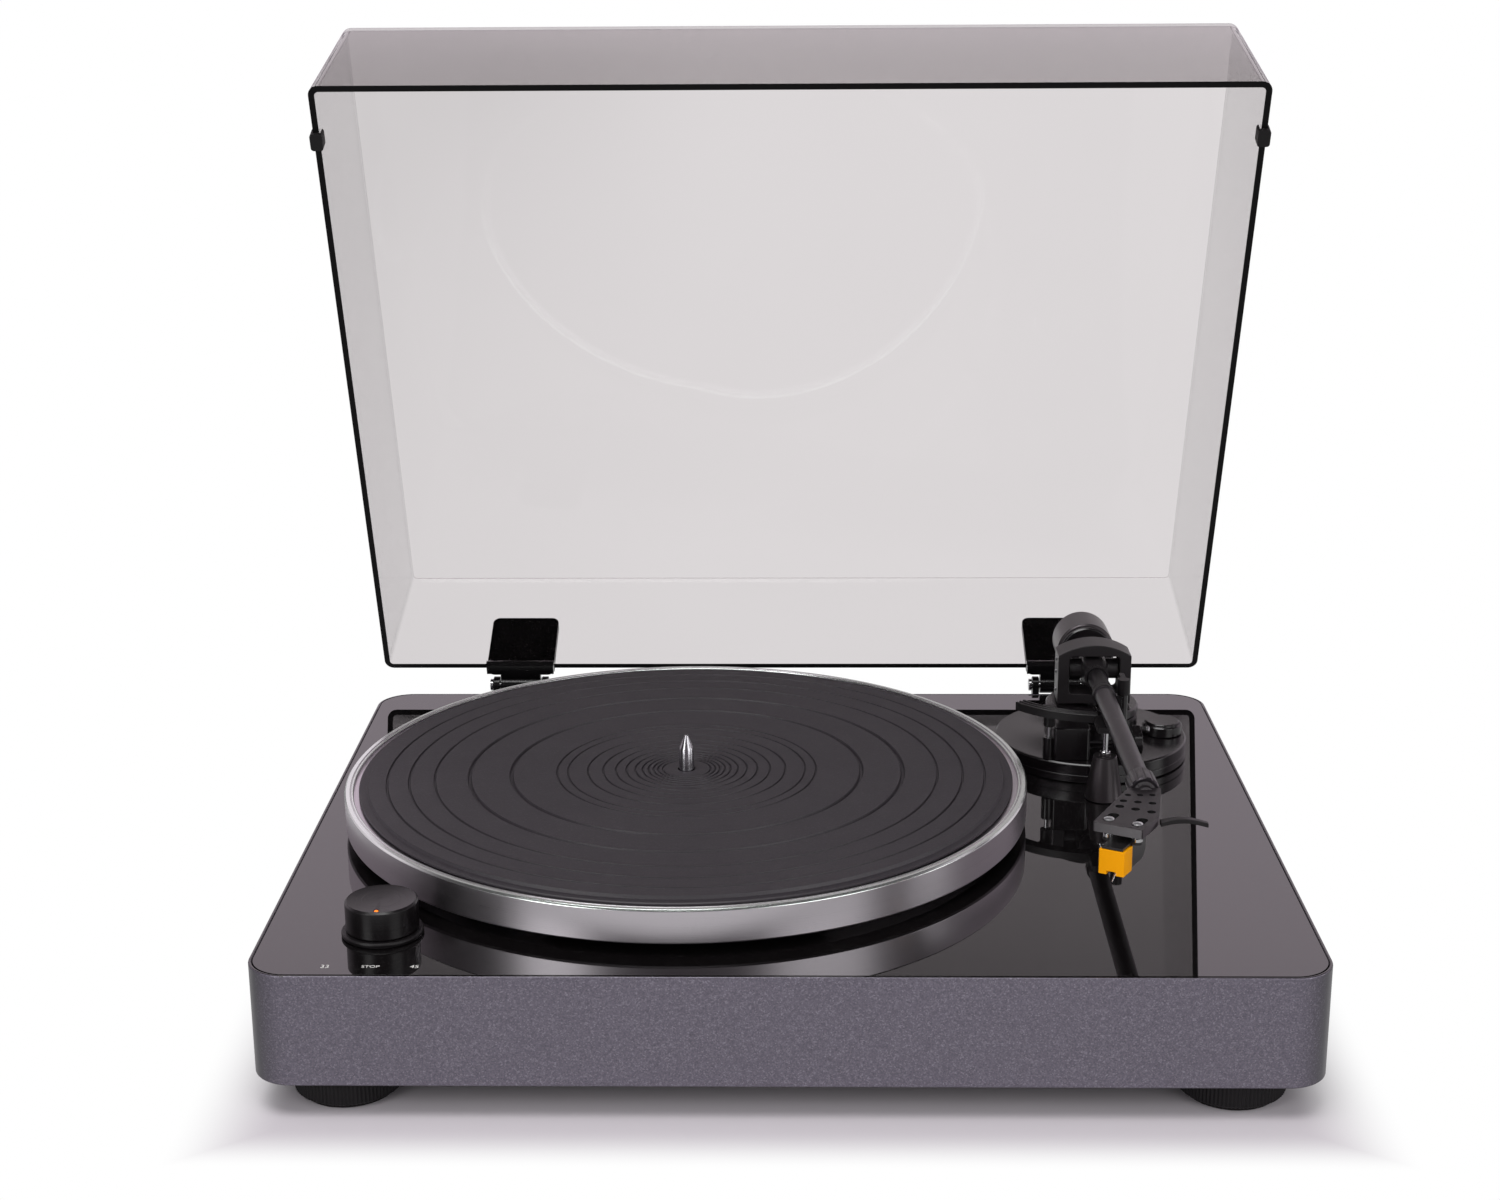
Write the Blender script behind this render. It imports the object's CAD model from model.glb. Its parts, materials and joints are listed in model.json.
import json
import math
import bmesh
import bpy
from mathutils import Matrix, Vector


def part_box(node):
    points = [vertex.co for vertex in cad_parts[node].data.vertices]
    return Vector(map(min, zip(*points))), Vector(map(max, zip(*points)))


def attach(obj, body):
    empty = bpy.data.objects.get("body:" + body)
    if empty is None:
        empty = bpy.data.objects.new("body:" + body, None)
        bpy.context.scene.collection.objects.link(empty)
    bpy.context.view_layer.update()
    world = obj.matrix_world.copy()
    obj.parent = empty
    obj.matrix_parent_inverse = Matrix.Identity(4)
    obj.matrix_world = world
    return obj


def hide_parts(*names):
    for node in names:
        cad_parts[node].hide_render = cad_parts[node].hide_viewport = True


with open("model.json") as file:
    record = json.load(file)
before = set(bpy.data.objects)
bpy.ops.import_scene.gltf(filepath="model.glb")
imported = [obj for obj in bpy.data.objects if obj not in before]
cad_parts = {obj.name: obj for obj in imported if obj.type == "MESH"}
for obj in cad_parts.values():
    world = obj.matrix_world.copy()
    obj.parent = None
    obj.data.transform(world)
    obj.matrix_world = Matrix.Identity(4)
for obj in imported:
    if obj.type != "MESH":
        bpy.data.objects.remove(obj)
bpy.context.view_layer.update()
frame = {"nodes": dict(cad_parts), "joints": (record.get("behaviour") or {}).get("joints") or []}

# %% [markdown]
# A turntable is a low box with a heavy spinning dish on it, an arm that reads the record and a
# clear cover. Its working solids come from the CAD model. This lesson dresses them: every visible
# piece is drawn again with finer edges, and each gets the finish of the real one. All drawing is
# in millimetres about the piece's own middle, and one step at the end puts it in its place in
# metres.

MM = 0.001
scene = bpy.context.scene
joint = {j["name"]: j for j in frame["joints"]}


def middle(node):
    low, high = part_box(node)
    return (low + high) / 2


def radius_of(node):
    """Half the width of a round CAD piece, in millimetres."""
    low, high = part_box(node)
    return (high.x - low.x) / MM / 2


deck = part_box("top_plate")[1].z
plinth_place = Vector((middle("plinth_frame").x, middle("plinth_frame").y, 0))
spindle_place = Vector((middle("platter").x, middle("platter").y, deck))
knob_place = Vector((middle("speed_knob").x, middle("speed_knob").y, deck))
arm_place = Vector((middle("gimbal_yoke").x, middle("gimbal_yoke").y, deck))


def above_deck(node):
    """The lowest and the highest point of a CAD piece over the deck, in millimetres."""
    low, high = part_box(node)
    return (low.z - deck) / MM, (high.z - deck) / MM


print("deck at", round(deck / MM, 2), "mm, arm pivot at", [round(v / MM, 2) for v in arm_place])

# %% [markdown]
# A material is a tree of nodes with links between them. Some nodes come up again and again: a
# noise, a sum of two numbers, a mix of two colours and a ramp from one level to another. A helper
# for each puts the node in, sets or links its inputs and gives back its output, so that a tree
# reads like a row of sums.


# %% Node helpers
def noise(tree, vector, scale, detail=2.0, roughness=0.5):
    node = tree.nodes.new("ShaderNodeTexNoise")
    node.inputs["Detail"].default_value = detail
    node.inputs["Roughness"].default_value = roughness
    if isinstance(scale, (int, float)):
        node.inputs["Scale"].default_value = scale
    else:
        tree.links.new(scale, node.inputs["Scale"])
    tree.links.new(vector, node.inputs["Vector"])
    return node.outputs["Fac"]


def maths(tree, kind, first, second=0.0, clamp=False):
    node = tree.nodes.new("ShaderNodeMath")
    node.operation = kind
    node.use_clamp = clamp
    for socket, value in zip(node.inputs, (first, second)):
        if isinstance(value, (int, float)):
            socket.default_value = value
        else:
            tree.links.new(value, socket)
    return node.outputs[0]


def blended(tree, share, first, second, kind="MIX"):
    """Mixes two colours by a share."""
    node = tree.nodes.new("ShaderNodeMix")
    node.data_type = "RGBA"
    node.blend_type = kind
    share_in, first_in, second_in = node.inputs[0], node.inputs[6], node.inputs[7]
    for socket, value in ((share_in, share), (first_in, first), (second_in, second)):
        if isinstance(value, bpy.types.NodeSocket):
            tree.links.new(value, socket)
        else:
            socket.default_value = value
    return node.outputs[2]


def ramp(tree, value, start, end, low=0.0, high=1.0, way="SMOOTHSTEP"):
    """Runs from low to high while the value runs from start to end."""
    node = tree.nodes.new("ShaderNodeMapRange")
    node.interpolation_type = way
    for name, number in (("From Min", start), ("From Max", end), ("To Min", low), ("To Max", high)):
        node.inputs[name].default_value = number
    tree.links.new(value, node.inputs["Value"])
    return node.outputs["Result"]


print("node helpers:", ", ".join(helper.__name__ for helper in (noise, maths, blended, ramp)))

# %% [markdown]
# No real surface is one flat colour. Under a lamp it shows grain, faint handling marks that
# change the gloss, and a little dust. One node group makes all three from noise in the piece's
# own coordinates, and each material places it with its own values. Dust lies only where the
# surface faces up, in specks where a fine noise passes a limit.

# %% Surface group
speck_limit = 0.64
dust_grey = (0.5, 0.49, 0.48, 1)


def new_socket(group, name, kind, default=None, way="INPUT"):
    socket = group.interface.new_socket(name=name, in_out=way, socket_type="NodeSocket" + kind)
    if default is not None:
        socket.default_value = default


def surface_group():
    """Grain, handling marks and dust. Puts out a colour, a roughness and a height."""
    group = bpy.data.node_groups.new("used_surface", "ShaderNodeTree")
    for name, kind, default in (("Place", "Vector", None), ("Colour", "Color", (0.5, 0.5, 0.5, 1)),
                                ("Roughness", "Float", 0.5), ("Grain Size", "Float", 1500.0),
                                ("Grain", "Float", 0.1), ("Marks", "Float", 0.1),
                                ("Dust", "Float", 0.1)):
        new_socket(group, name, kind, default)
    for name, kind in (("Colour", "Color"), ("Roughness", "Float"), ("Height", "Float")):
        new_socket(group, name, kind, way="OUTPUT")
    given = group.nodes.new("NodeGroupInput").outputs
    made = group.nodes.new("NodeGroupOutput").inputs
    grain = noise(group, given["Place"], given["Grain Size"])
    marks = noise(group, given["Place"], scale=38.0, detail=5.0, roughness=0.62)
    specks = noise(group, given["Place"], scale=900.0, detail=1.0)
    patches = noise(group, given["Place"], scale=14.0)
    shade = maths(group, "MULTIPLY", maths(group, "SUBTRACT", grain, 0.5), given["Grain"])
    shade = maths(group, "ADD", shade, 1.0)
    wobble = maths(group, "MULTIPLY", maths(group, "SUBTRACT", marks, 0.5), given["Marks"])
    up = group.nodes.new("ShaderNodeSeparateXYZ")
    group.links.new(group.nodes.new("ShaderNodeNewGeometry").outputs["Normal"], up.inputs[0])
    dusty = maths(group, "MULTIPLY", maths(group, "MAXIMUM", up.outputs["Z"], 0.0),
                  maths(group, "GREATER_THAN", specks, speck_limit))
    dusty = maths(group, "MULTIPLY", dusty, maths(group, "MULTIPLY", patches, given["Dust"]), True)
    grey = group.nodes.new("ShaderNodeCombineColor")
    for socket in grey.inputs:
        group.links.new(shade, socket)
    toned = blended(group, 1.0, given["Colour"], grey.outputs[0], "MULTIPLY")
    group.links.new(blended(group, dusty, toned, dust_grey), made["Colour"])
    group.links.new(maths(group, "ADD", given["Roughness"], wobble, True), made["Roughness"])
    group.links.new(grain, made["Height"])
    return group


used_surface = surface_group()
print("surface group with", len(used_surface.nodes), "nodes")

# %% [markdown]
# A finish is a Principled shader with this group before it. Sockets that are the same all over
# the piece, such as its metal, coat or index, are set on the shader itself. Colours are written
# by the code that a screen would show, and are turned into the linear values of a shader.


# %% Finish
def by_colour(code):
    """A colour written as on a screen, such as 6a6470, as the linear values that shaders use."""
    parts = [int(code[i:i + 2], 16) / 255 for i in (0, 2, 4)]
    linear = [p / 12.92 if p < 0.04045 else ((p + 0.055) / 1.055) ** 2.4 for p in parts]
    return (*linear, 1)


relief_depth = 0.05 * MM


def finish(name, colour, roughness, grain_size=1500.0, grain=0.15, marks=0.1, dust=0.1, bump=0.0,
           **sockets):
    material = bpy.data.materials.new(name)
    material.use_nodes = True
    tree = material.node_tree
    shader = tree.nodes["Principled BSDF"]
    place = tree.nodes.new("ShaderNodeTexCoord").outputs["Object"]
    surface = tree.nodes.new("ShaderNodeGroup")
    surface.name = "surface"
    surface.node_tree = used_surface
    tree.links.new(place, surface.inputs["Place"])
    for socket, value in (("Colour", by_colour(colour)), ("Roughness", roughness),
                          ("Grain Size", grain_size), ("Grain", grain), ("Marks", marks),
                          ("Dust", dust)):
        surface.inputs[socket].default_value = value
    tree.links.new(surface.outputs["Colour"], shader.inputs["Base Color"])
    tree.links.new(surface.outputs["Roughness"], shader.inputs["Roughness"])
    for socket, value in sockets.items():
        shader.inputs[socket.replace("_", " ")].default_value = value
    if bump:
        relief = tree.nodes.new("ShaderNodeBump")
        relief.inputs["Strength"].default_value = bump
        relief.inputs["Distance"].default_value = relief_depth
        tree.links.new(surface.outputs["Height"], relief.inputs["Height"])
        tree.links.new(relief.outputs["Normal"], shader.inputs["Normal"])
    return material


print("relief of a finish is at most", relief_depth / MM, "mm deep")

# %% [markdown]
# These are the plain finishes, made once for every piece that has them, the inner ones too. Gloss
# black is polished lacquer, satin black is moulded plastic, and rubber is rougher and greyer in
# the light. Metals are bare where they are bright. A finish that needs nodes of its own, or that
# was matched to one piece closely, is made with that piece.

# %% Shared finishes
gloss_black = finish("gloss_black", "0d0b0c", roughness=0.02, grain=0.02, marks=0.02, dust=0.03,
                     IOR=1.7)
satin_black = finish("satin_black", "110e10", roughness=0.42, grain_size=2500, grain=0.25,
                     marks=0.1, dust=0.03, bump=0.15, IOR=1.4)
hinge_black = finish("hinge_black", "0b0a0b", roughness=0.16, grain_size=2500, grain=0.1, marks=0.1,
                     dust=0.05, IOR=1.4)
black_metal = finish("black_metal", "1c191b", roughness=0.34, grain_size=2600, grain=0.25,
                     marks=0.1, dust=0.03, bump=0.12)
weight_metal = finish("weight_metal", "423d40", roughness=0.3, grain_size=2400, grain=0.25,
                      marks=0.12, dust=0.1, bump=0.12, Metallic=0.6)
rubber = finish("rubber", "0e0b0d", roughness=0.6, grain_size=2200, grain=0.3, marks=0.15,
                dust=0.03, bump=0.3, IOR=1.4)
polished_steel = finish("polished_steel", "c9c9cb", roughness=0.14, grain_size=1800, grain=0.08,
                        marks=0.1, dust=0.05, Metallic=1.0)
sheet_steel = finish("sheet_steel", "8d8f92", roughness=0.45, grain_size=1800, grain=0.2, marks=0.2,
                     dust=0.2, bump=0.2, Metallic=0.9)
brass = finish("brass", "b08d4a", roughness=0.25, grain_size=1800, grain=0.15, marks=0.15, dust=0.1,
               Metallic=1.0)
gilt = finish("gilt", "c9a24d", roughness=0.18, grain_size=1800, grain=0.1, marks=0.1, dust=0.1,
              Metallic=1.0)
white_plastic = finish("white_plastic", "dedbd4", roughness=0.45, grain_size=1800, grain=0.08,
                       marks=0.1, dust=0.2, bump=0.1)
zinc = finish("zinc", "93949a", roughness=0.5, grain_size=1200, grain=0.25, marks=0.2, dust=0.2,
              bump=0.4, Metallic=0.8)
board_green = finish("board_green", "1f5a3a", roughness=0.35, grain_size=700, grain=0.5, marks=0.2,
                     dust=0.2, bump=0.2)
amber_plastic = finish("amber_plastic", "f0a000", roughness=0.5, grain_size=2200, grain=0.06,
                       marks=0.08, dust=0.0, bump=0.08, IOR=1.2)
white_ink = finish("white_ink", "e4e2df", roughness=0.5, grain_size=3000, grain=0.15, marks=0.1)
acrylic_edge = finish("acrylic_edge", "070607", roughness=0.5, grain_size=2500, grain=0.1,
                      marks=0.1, dust=0.02, IOR=1.25)
print(len(bpy.data.materials), "finishes so far")

# %% [markdown]
# The sides of the plinth are sprayed with a grey-violet paint full of tiny metal flakes. Each
# flake lies at its own slant and glints or not, so cells of a Voronoi texture, each with a random
# shade, give the sparkle: a high power of the shade leaves only the few brightest. Seen at a
# slant the flakes hide each other and the paint darkens, which the Facing output of Layer Weight
# gives.

# %% Flake paint
flake_scale = 1900
glint_power = 5.0
glint_share = 0.6
cloud_scale = 1300.0
cloud_share = 0.25
glint_violet = by_colour("a39ca9")
cloud_violet = by_colour("4c4651")
slant_violet = by_colour("2c2830")


def flake_paint():
    material = finish("flake_paint", "6b6673", roughness=0.4, grain_size=1500, grain=1.2,
                      marks=0.05, dust=0.02, Metallic=0.5, Coat_Weight=0.35, Coat_Roughness=0.25)
    tree = material.node_tree
    shader = tree.nodes["Principled BSDF"]
    place = tree.nodes["Texture Coordinate"].outputs["Object"]
    flakes = tree.nodes.new("ShaderNodeTexVoronoi")
    flakes.inputs["Scale"].default_value = flake_scale
    tree.links.new(place, flakes.inputs["Vector"])
    shade = tree.nodes.new("ShaderNodeSeparateColor")
    tree.links.new(flakes.outputs["Color"], shade.inputs[0])
    glint = maths(tree, "POWER", shade.outputs[0], glint_power)
    clouds = noise(tree, place, cloud_scale)
    bright = blended(tree, maths(tree, "MULTIPLY", glint, glint_share),
                     tree.nodes["surface"].outputs["Colour"], glint_violet)
    deep = blended(tree, maths(tree, "MULTIPLY", clouds, cloud_share), bright, cloud_violet)
    slant = tree.nodes.new("ShaderNodeLayerWeight")
    slant.inputs["Blend"].default_value = 0.5
    turned_away = ramp(tree, slant.outputs["Facing"], 0.1, 0.6, 0.0, 0.85, "LINEAR")
    tree.links.new(blended(tree, turned_away, deep, slant_violet), shader.inputs["Base Color"])
    return material


plinth_paint = flake_paint()
print("flakes about", round(1 / flake_scale / MM, 2), "mm across in", plinth_paint.name)

# %% [markdown]
# Flat and square pieces start as a cube from create_cube, stretched and moved to its six limits.
# A bevel of its four upright edges makes round corners like those of the plinth. The operator's
# defaults are not the editor's, so its kind, profile and material are all given.


# %% Blocks
def block(left, right, front, back, low, high):
    bm = bmesh.new()
    bmesh.ops.create_cube(bm, size=1)
    bmesh.ops.scale(bm, vec=(right - left, back - front, high - low), verts=bm.verts)
    bmesh.ops.translate(bm, vec=((left + right) / 2, (front + back) / 2, (low + high) / 2),
                        verts=bm.verts)
    return bm


def round_edges(bm, chosen, radius, steps):
    bmesh.ops.bevel(bm, geom=chosen, offset=radius, offset_type="OFFSET", segments=steps,
                    profile=0.5, affect="EDGES", material=-1, clamp_overlap=True)


def uprights(bm):
    """The edges of a block that run along Z."""
    spans = {edge: edge.verts[1].co - edge.verts[0].co for edge in bm.edges}
    return [edge for edge, span in spans.items() if span.xy.length < abs(span.z)]


def rounded_block(width, depth, low, high, radius, steps=12, x=0, y=0):
    bm = block(x - width / 2, x + width / 2, y - depth / 2, y + depth / 2, low, high)
    round_edges(bm, uprights(bm), radius, steps)
    return bm


trial = rounded_block(20, 10, 0, 5, 2)
print("a trial block with round corners has", len(trial.faces), "faces")
trial.free()

# %% [markdown]
# A hole is a solid taken away from a piece, and a boss is one added to it. The Boolean modifier
# does both. The piece is then read as Blender shows it, which turns the modifier's result into a
# plain mesh, ready for the next cut.


# %% Cutting and joining
def loose(bm, name="blank"):
    mesh = bpy.data.meshes.new(name)
    bm.to_mesh(mesh)
    bm.free()
    obj = bpy.data.objects.new(name, mesh)
    scene.collection.objects.link(obj)
    return obj


def settle(obj):
    """Turns the modifiers of a piece into its mesh."""
    bpy.context.view_layer.update()
    seen = obj.evaluated_get(bpy.context.evaluated_depsgraph_get())
    old = obj.data
    obj.data = bpy.data.meshes.new_from_object(seen)
    obj.modifiers.clear()
    bpy.data.meshes.remove(old)


def shaped(obj, tools, operation):
    for bm in tools:
        tool = loose(bm, "tool")
        modifier = obj.modifiers.new("tool", "BOOLEAN")
        modifier.object = tool
        modifier.operation = operation
        modifier.solver = "EXACT"
        settle(obj)
        bpy.data.objects.remove(tool)
    return obj


def cut(bm, *tools):
    return shaped(bm if isinstance(bm, bpy.types.Object) else loose(bm), tools, "DIFFERENCE")


def fused(bm, *others):
    return shaped(bm if isinstance(bm, bpy.types.Object) else loose(bm), others, "UNION")


trial = cut(block(-5, 5, -5, 5, 0, 5), block(-2, 2, -2, 2, -1, 6))
print("a trial block with a square hole has", len(trial.data.polygons), "faces")
bpy.data.objects.remove(trial)

# %% [markdown]
# Every piece is drawn in millimetres about its own middle. One matrix takes its mesh to its place
# in metres, so that the object itself stays at the origin. No real edge is quite sharp, and a
# Bevel modifier gives each one a small round that catches the light. Last, the piece is told
# which body it moves with, which CAD pieces it stands for and which finish it has.

# %% Putting a piece in its place
sharp_angle = math.radians(35)


def at(place, turn=None):
    """From a piece's own millimetres to its place in the row frame, in metres."""
    return Matrix.Translation(place) @ (turn or Matrix.Identity(4)) @ Matrix.Scale(MM, 4)


def finish_piece(name, made, place, material, body, stands_for, soften=0.4, steps=3):
    """Places a piece, gives it its looks and soft edges, and tells the frame what it is."""
    obj = made if isinstance(made, bpy.types.Object) else loose(made)
    obj.name = name
    obj.data.name = name
    obj.data.transform(place)
    looks = material if isinstance(material, (list, tuple)) else [material]
    chosen = [min(face.material_index, len(looks) - 1) for face in obj.data.polygons]
    obj.data.materials.clear()
    for look in looks:
        obj.data.materials.append(look)
    obj.data.polygons.foreach_set("material_index", chosen)
    obj.data.shade_smooth()
    if soften:
        edge = obj.modifiers.new("soft_edges", "BEVEL")
        edge.width = soften * MM
        edge.segments = steps
        edge.limit_method = "ANGLE"
        edge.angle_limit = sharp_angle
        edge.harden_normals = True
        edge.use_clamp_overlap = True
    else:
        obj.data.set_sharp_from_angle(angle=sharp_angle)
    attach(obj, body)
    if stands_for:
        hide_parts(*stands_for)
    print(name, "has", len(obj.data.polygons), "faces")
    return obj


corner_point = at(plinth_place) @ Vector((1, 1, 1))
print("the point 1, 1, 1 of the plinth's drawing lies at", [round(v, 4) for v in corner_point])

# %% [markdown]
# The plinth is a moulded frame with round corners. Seen from below or with the cover plate off it
# is hollow. A block with four bevelled uprights gives the outside, and smaller blocks of the same
# kind are cut from it: the seat of the top plate, the hollow and the step for the bottom cover.
# The thin lip round the top plate is polished black like the plate, so the paint stops at the top
# edge.

# %% Plinth frame
plinth_low, plinth_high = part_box("plinth_frame")
plinth_width = (plinth_high.x - plinth_low.x) / MM
plinth_depth = (plinth_high.y - plinth_low.y) / MM
plinth_bottom = plinth_low.z / MM
plinth_top = deck / MM
plinth_corner = 18
plinth_wall = 14
plinth_lip = 1.6
plate_thickness = (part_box("top_plate")[1].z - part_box("top_plate")[0].z) / MM
cover_step = 7
cover_thickness = 3
gap = 0.3
past = 2
facing_up = 0.9
lip_depth = 0.1


def inset_block(inset, low, high):
    return rounded_block(plinth_width - 2 * inset, plinth_depth - 2 * inset, low, high,
                         max(plinth_corner - inset, 1), 16)


panel_low, panel_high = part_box("rear_panel")
panel_window = block((panel_low.x - plinth_place.x) / MM - gap,
                     (panel_high.x - plinth_place.x) / MM + gap,
                     plinth_depth / 2 - plinth_wall - past, plinth_depth / 2 + past,
                     panel_low.z / MM - gap, panel_high.z / MM + gap)
frame_blank = cut(inset_block(0, plinth_bottom, plinth_top),
                  inset_block(plinth_lip, plinth_top - plate_thickness - gap, plinth_top + past),
                  inset_block(plinth_wall, plinth_bottom - past, plinth_top + past),
                  inset_block(cover_step, plinth_bottom - past,
                              plinth_bottom + cover_thickness + gap),
                  panel_window)
for face in frame_blank.data.polygons:
    on_lip = face.normal.z > facing_up and face.center.z > plinth_top - lip_depth
    face.material_index = int(on_lip)
finish_piece("plinth_sides", frame_blank, at(plinth_place), [plinth_paint, gloss_black], "plinth",
             ["plinth_frame"], 0.7, 3)

# %% [markdown]
# Round pieces are made as on a lathe: half a section, written as points of radius and height, is
# spun once round Z. The spin merges its last step with its first, and the copies of a point on
# the axis are merged into one, so that the piece is closed. A rod is the simplest of them.


# %% Turned pieces
def turned(profile, steps=128, closed=False):
    """A profile of (radius, height) points, spun once round Z."""
    bm = bmesh.new()
    points = [bm.verts.new((radius, 0, height)) for radius, height in profile]
    pairs = list(zip(points, points[1:]))
    if closed:
        pairs.append((points[-1], points[0]))
    edges = [bm.edges.new(pair) for pair in pairs]
    bmesh.ops.spin(bm, geom=points + edges, cent=(0, 0, 0), axis=(0, 0, 1), angle=math.tau,
                   steps=steps, use_merge=True)
    bmesh.ops.remove_doubles(bm, verts=bm.verts, dist=0.0005)
    bmesh.ops.recalc_face_normals(bm, faces=bm.faces)
    return bm


def rod(radius, low, high, steps=48, x=0, y=0):
    bm = turned([(0, low), (radius, low), (radius, high), (0, high)], steps)
    bmesh.ops.translate(bm, vec=(x, y, 0), verts=bm.verts)
    return bm


trial = rod(5, 0, 10)
print("a trial rod has", len(trial.faces), "faces")
trial.free()

# %% [markdown]
# The top plate is black and polished like a piano lid, and mirrors everything that stands on it.
# It lies inside the lip with a hairline gap. Its holes for the bearing, the motor shaft, the knob
# and the arm are cut, as on the real plate.

# %% Top plate
plate = inset_block(plinth_lip + gap, plinth_top - plate_thickness, plinth_top)
hole_radii = {"bearing_housing": 10.8, "motor_pulley": 4, "speed_knob": 3.3, "gimbal_yoke": 14}
hole_start = plinth_top - 10
plate_holes = []
for node, radius in hole_radii.items():
    where = (middle(node) - plinth_place) / MM
    plate_holes.append(rod(radius, hole_start, plinth_top + past, 48, where.x, where.y))
finish_piece("deck_plate", cut(plate, *plate_holes), at(plinth_place), gloss_black, "plinth",
             ["top_plate"], 0.25, 2)

# %% [markdown]
# The sides of the feet have fine upright ribs for the fingers. They are made by drawing in every
# second point of a round, which is then pulled up in three steps, so that both ends are chamfered.

# %% Ribbed post
same_level = 1e-4


def moved(bm, x=0, y=0, z=0):
    bmesh.ops.translate(bm, vec=(x, y, z), verts=bm.verts)
    return bm


def points_in(made):
    """The vertices that an operator made."""
    return [part for part in made["geom"] if isinstance(part, bmesh.types.BMVert)]


def ribbed_post(radius, low, high, ribs, depth, chamfer=0.8):
    """A post with fine ribs and a small chamfer at both ends."""
    bm = bmesh.new()
    bmesh.ops.create_circle(bm, cap_ends=True, segments=2 * ribs, radius=radius)
    ring = list(bm.verts)
    for point in ring[1::2]:
        point.co.xy *= (radius - depth) / radius
    moved(bm, z=low)
    shrink = (radius - chamfer) / radius
    for rise, size in ((chamfer, 1), (high - low - 2 * chamfer, 1), (chamfer, shrink)):
        rounds = [f for f in bm.faces if len(f.verts) == 2 * ribs]
        face = max(rounds, key=lambda f: f.calc_center_median().z)
        made = bmesh.ops.extrude_face_region(bm, geom=[face])
        bmesh.ops.delete(bm, geom=[face], context="FACES_ONLY")
        points = points_in(made)
        for point in points:
            point.co.xy *= size
        bmesh.ops.translate(bm, vec=(0, 0, rise), verts=points)
    lowest = min(v.co.z for v in bm.verts)
    for point in bm.verts:
        if point.co.z < lowest + same_level:
            point.co.xy *= shrink
    bottom = [e for e in bm.edges if e.is_boundary]
    if bottom:
        bmesh.ops.contextual_create(bm, geom=bottom)
    bmesh.ops.recalc_face_normals(bm, faces=bm.faces)
    return bm


trial = ribbed_post(10, 0, 20, 24, 0.5)
print("a trial post has", len(trial.faces), "faces")
trial.free()

# %% [markdown]
# Four hard rubber feet carry the plinth, each on a stud that goes up through the bottom cover. A
# softer flat pad under each one meets the table.

# %% Feet
foot_radius = radius_of("foot_front_left")
foot_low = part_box("foot_front_left")[0].z / MM
foot_ribs = 84
rib_depth = 0.55
stud_radius = 3.4
stud_sink = 2
stud_rise = 12
sole_radius = 20
sole_thickness = 2
for corner in ("front_left", "front_right", "rear_left", "rear_right"):
    foot_place = Vector((middle("foot_" + corner).x, middle("foot_" + corner).y, 0))
    grip = fused(ribbed_post(foot_radius, foot_low, plinth_bottom - gap, foot_ribs, rib_depth),
                 rod(stud_radius, plinth_bottom - stud_sink, plinth_bottom + stud_rise, 48))
    finish_piece("foot_grip_" + corner, grip, at(foot_place), rubber, "foot_" + corner,
                 ["foot_" + corner], 0)
    finish_piece("foot_sole_" + corner, rod(sole_radius, 0, sole_thickness, 96), at(foot_place),
                 rubber, "foot_" + corner, ["foot_pad_" + corner], 0.5)

# %% [markdown]
# The platter is cast aluminium, turned on a lathe. The tool leaves rings on every face, so a
# noise that only depends on the distance from the spindle and on the height draws its fine lines.
# Each line tips the normal across the rings, never along them. A lamp is then drawn out into an
# upright band on the side, as on the real metal.

# %% Turned aluminium
ring_share = 0.25
gloss_change = 0.18


def vectors(tree, kind, first, second=None):
    """A vector sum. SCALE takes a number as its second value."""
    node = tree.nodes.new("ShaderNodeVectorMath")
    node.operation = kind
    sockets = (node.inputs[0], node.inputs["Scale"] if kind == "SCALE" else node.inputs[1])
    for socket, value in zip(sockets, (first, second)):
        if isinstance(value, bpy.types.NodeSocket):
            tree.links.new(value, socket)
        elif value is not None:
            socket.default_value = value
    return node.outputs[0]


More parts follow.
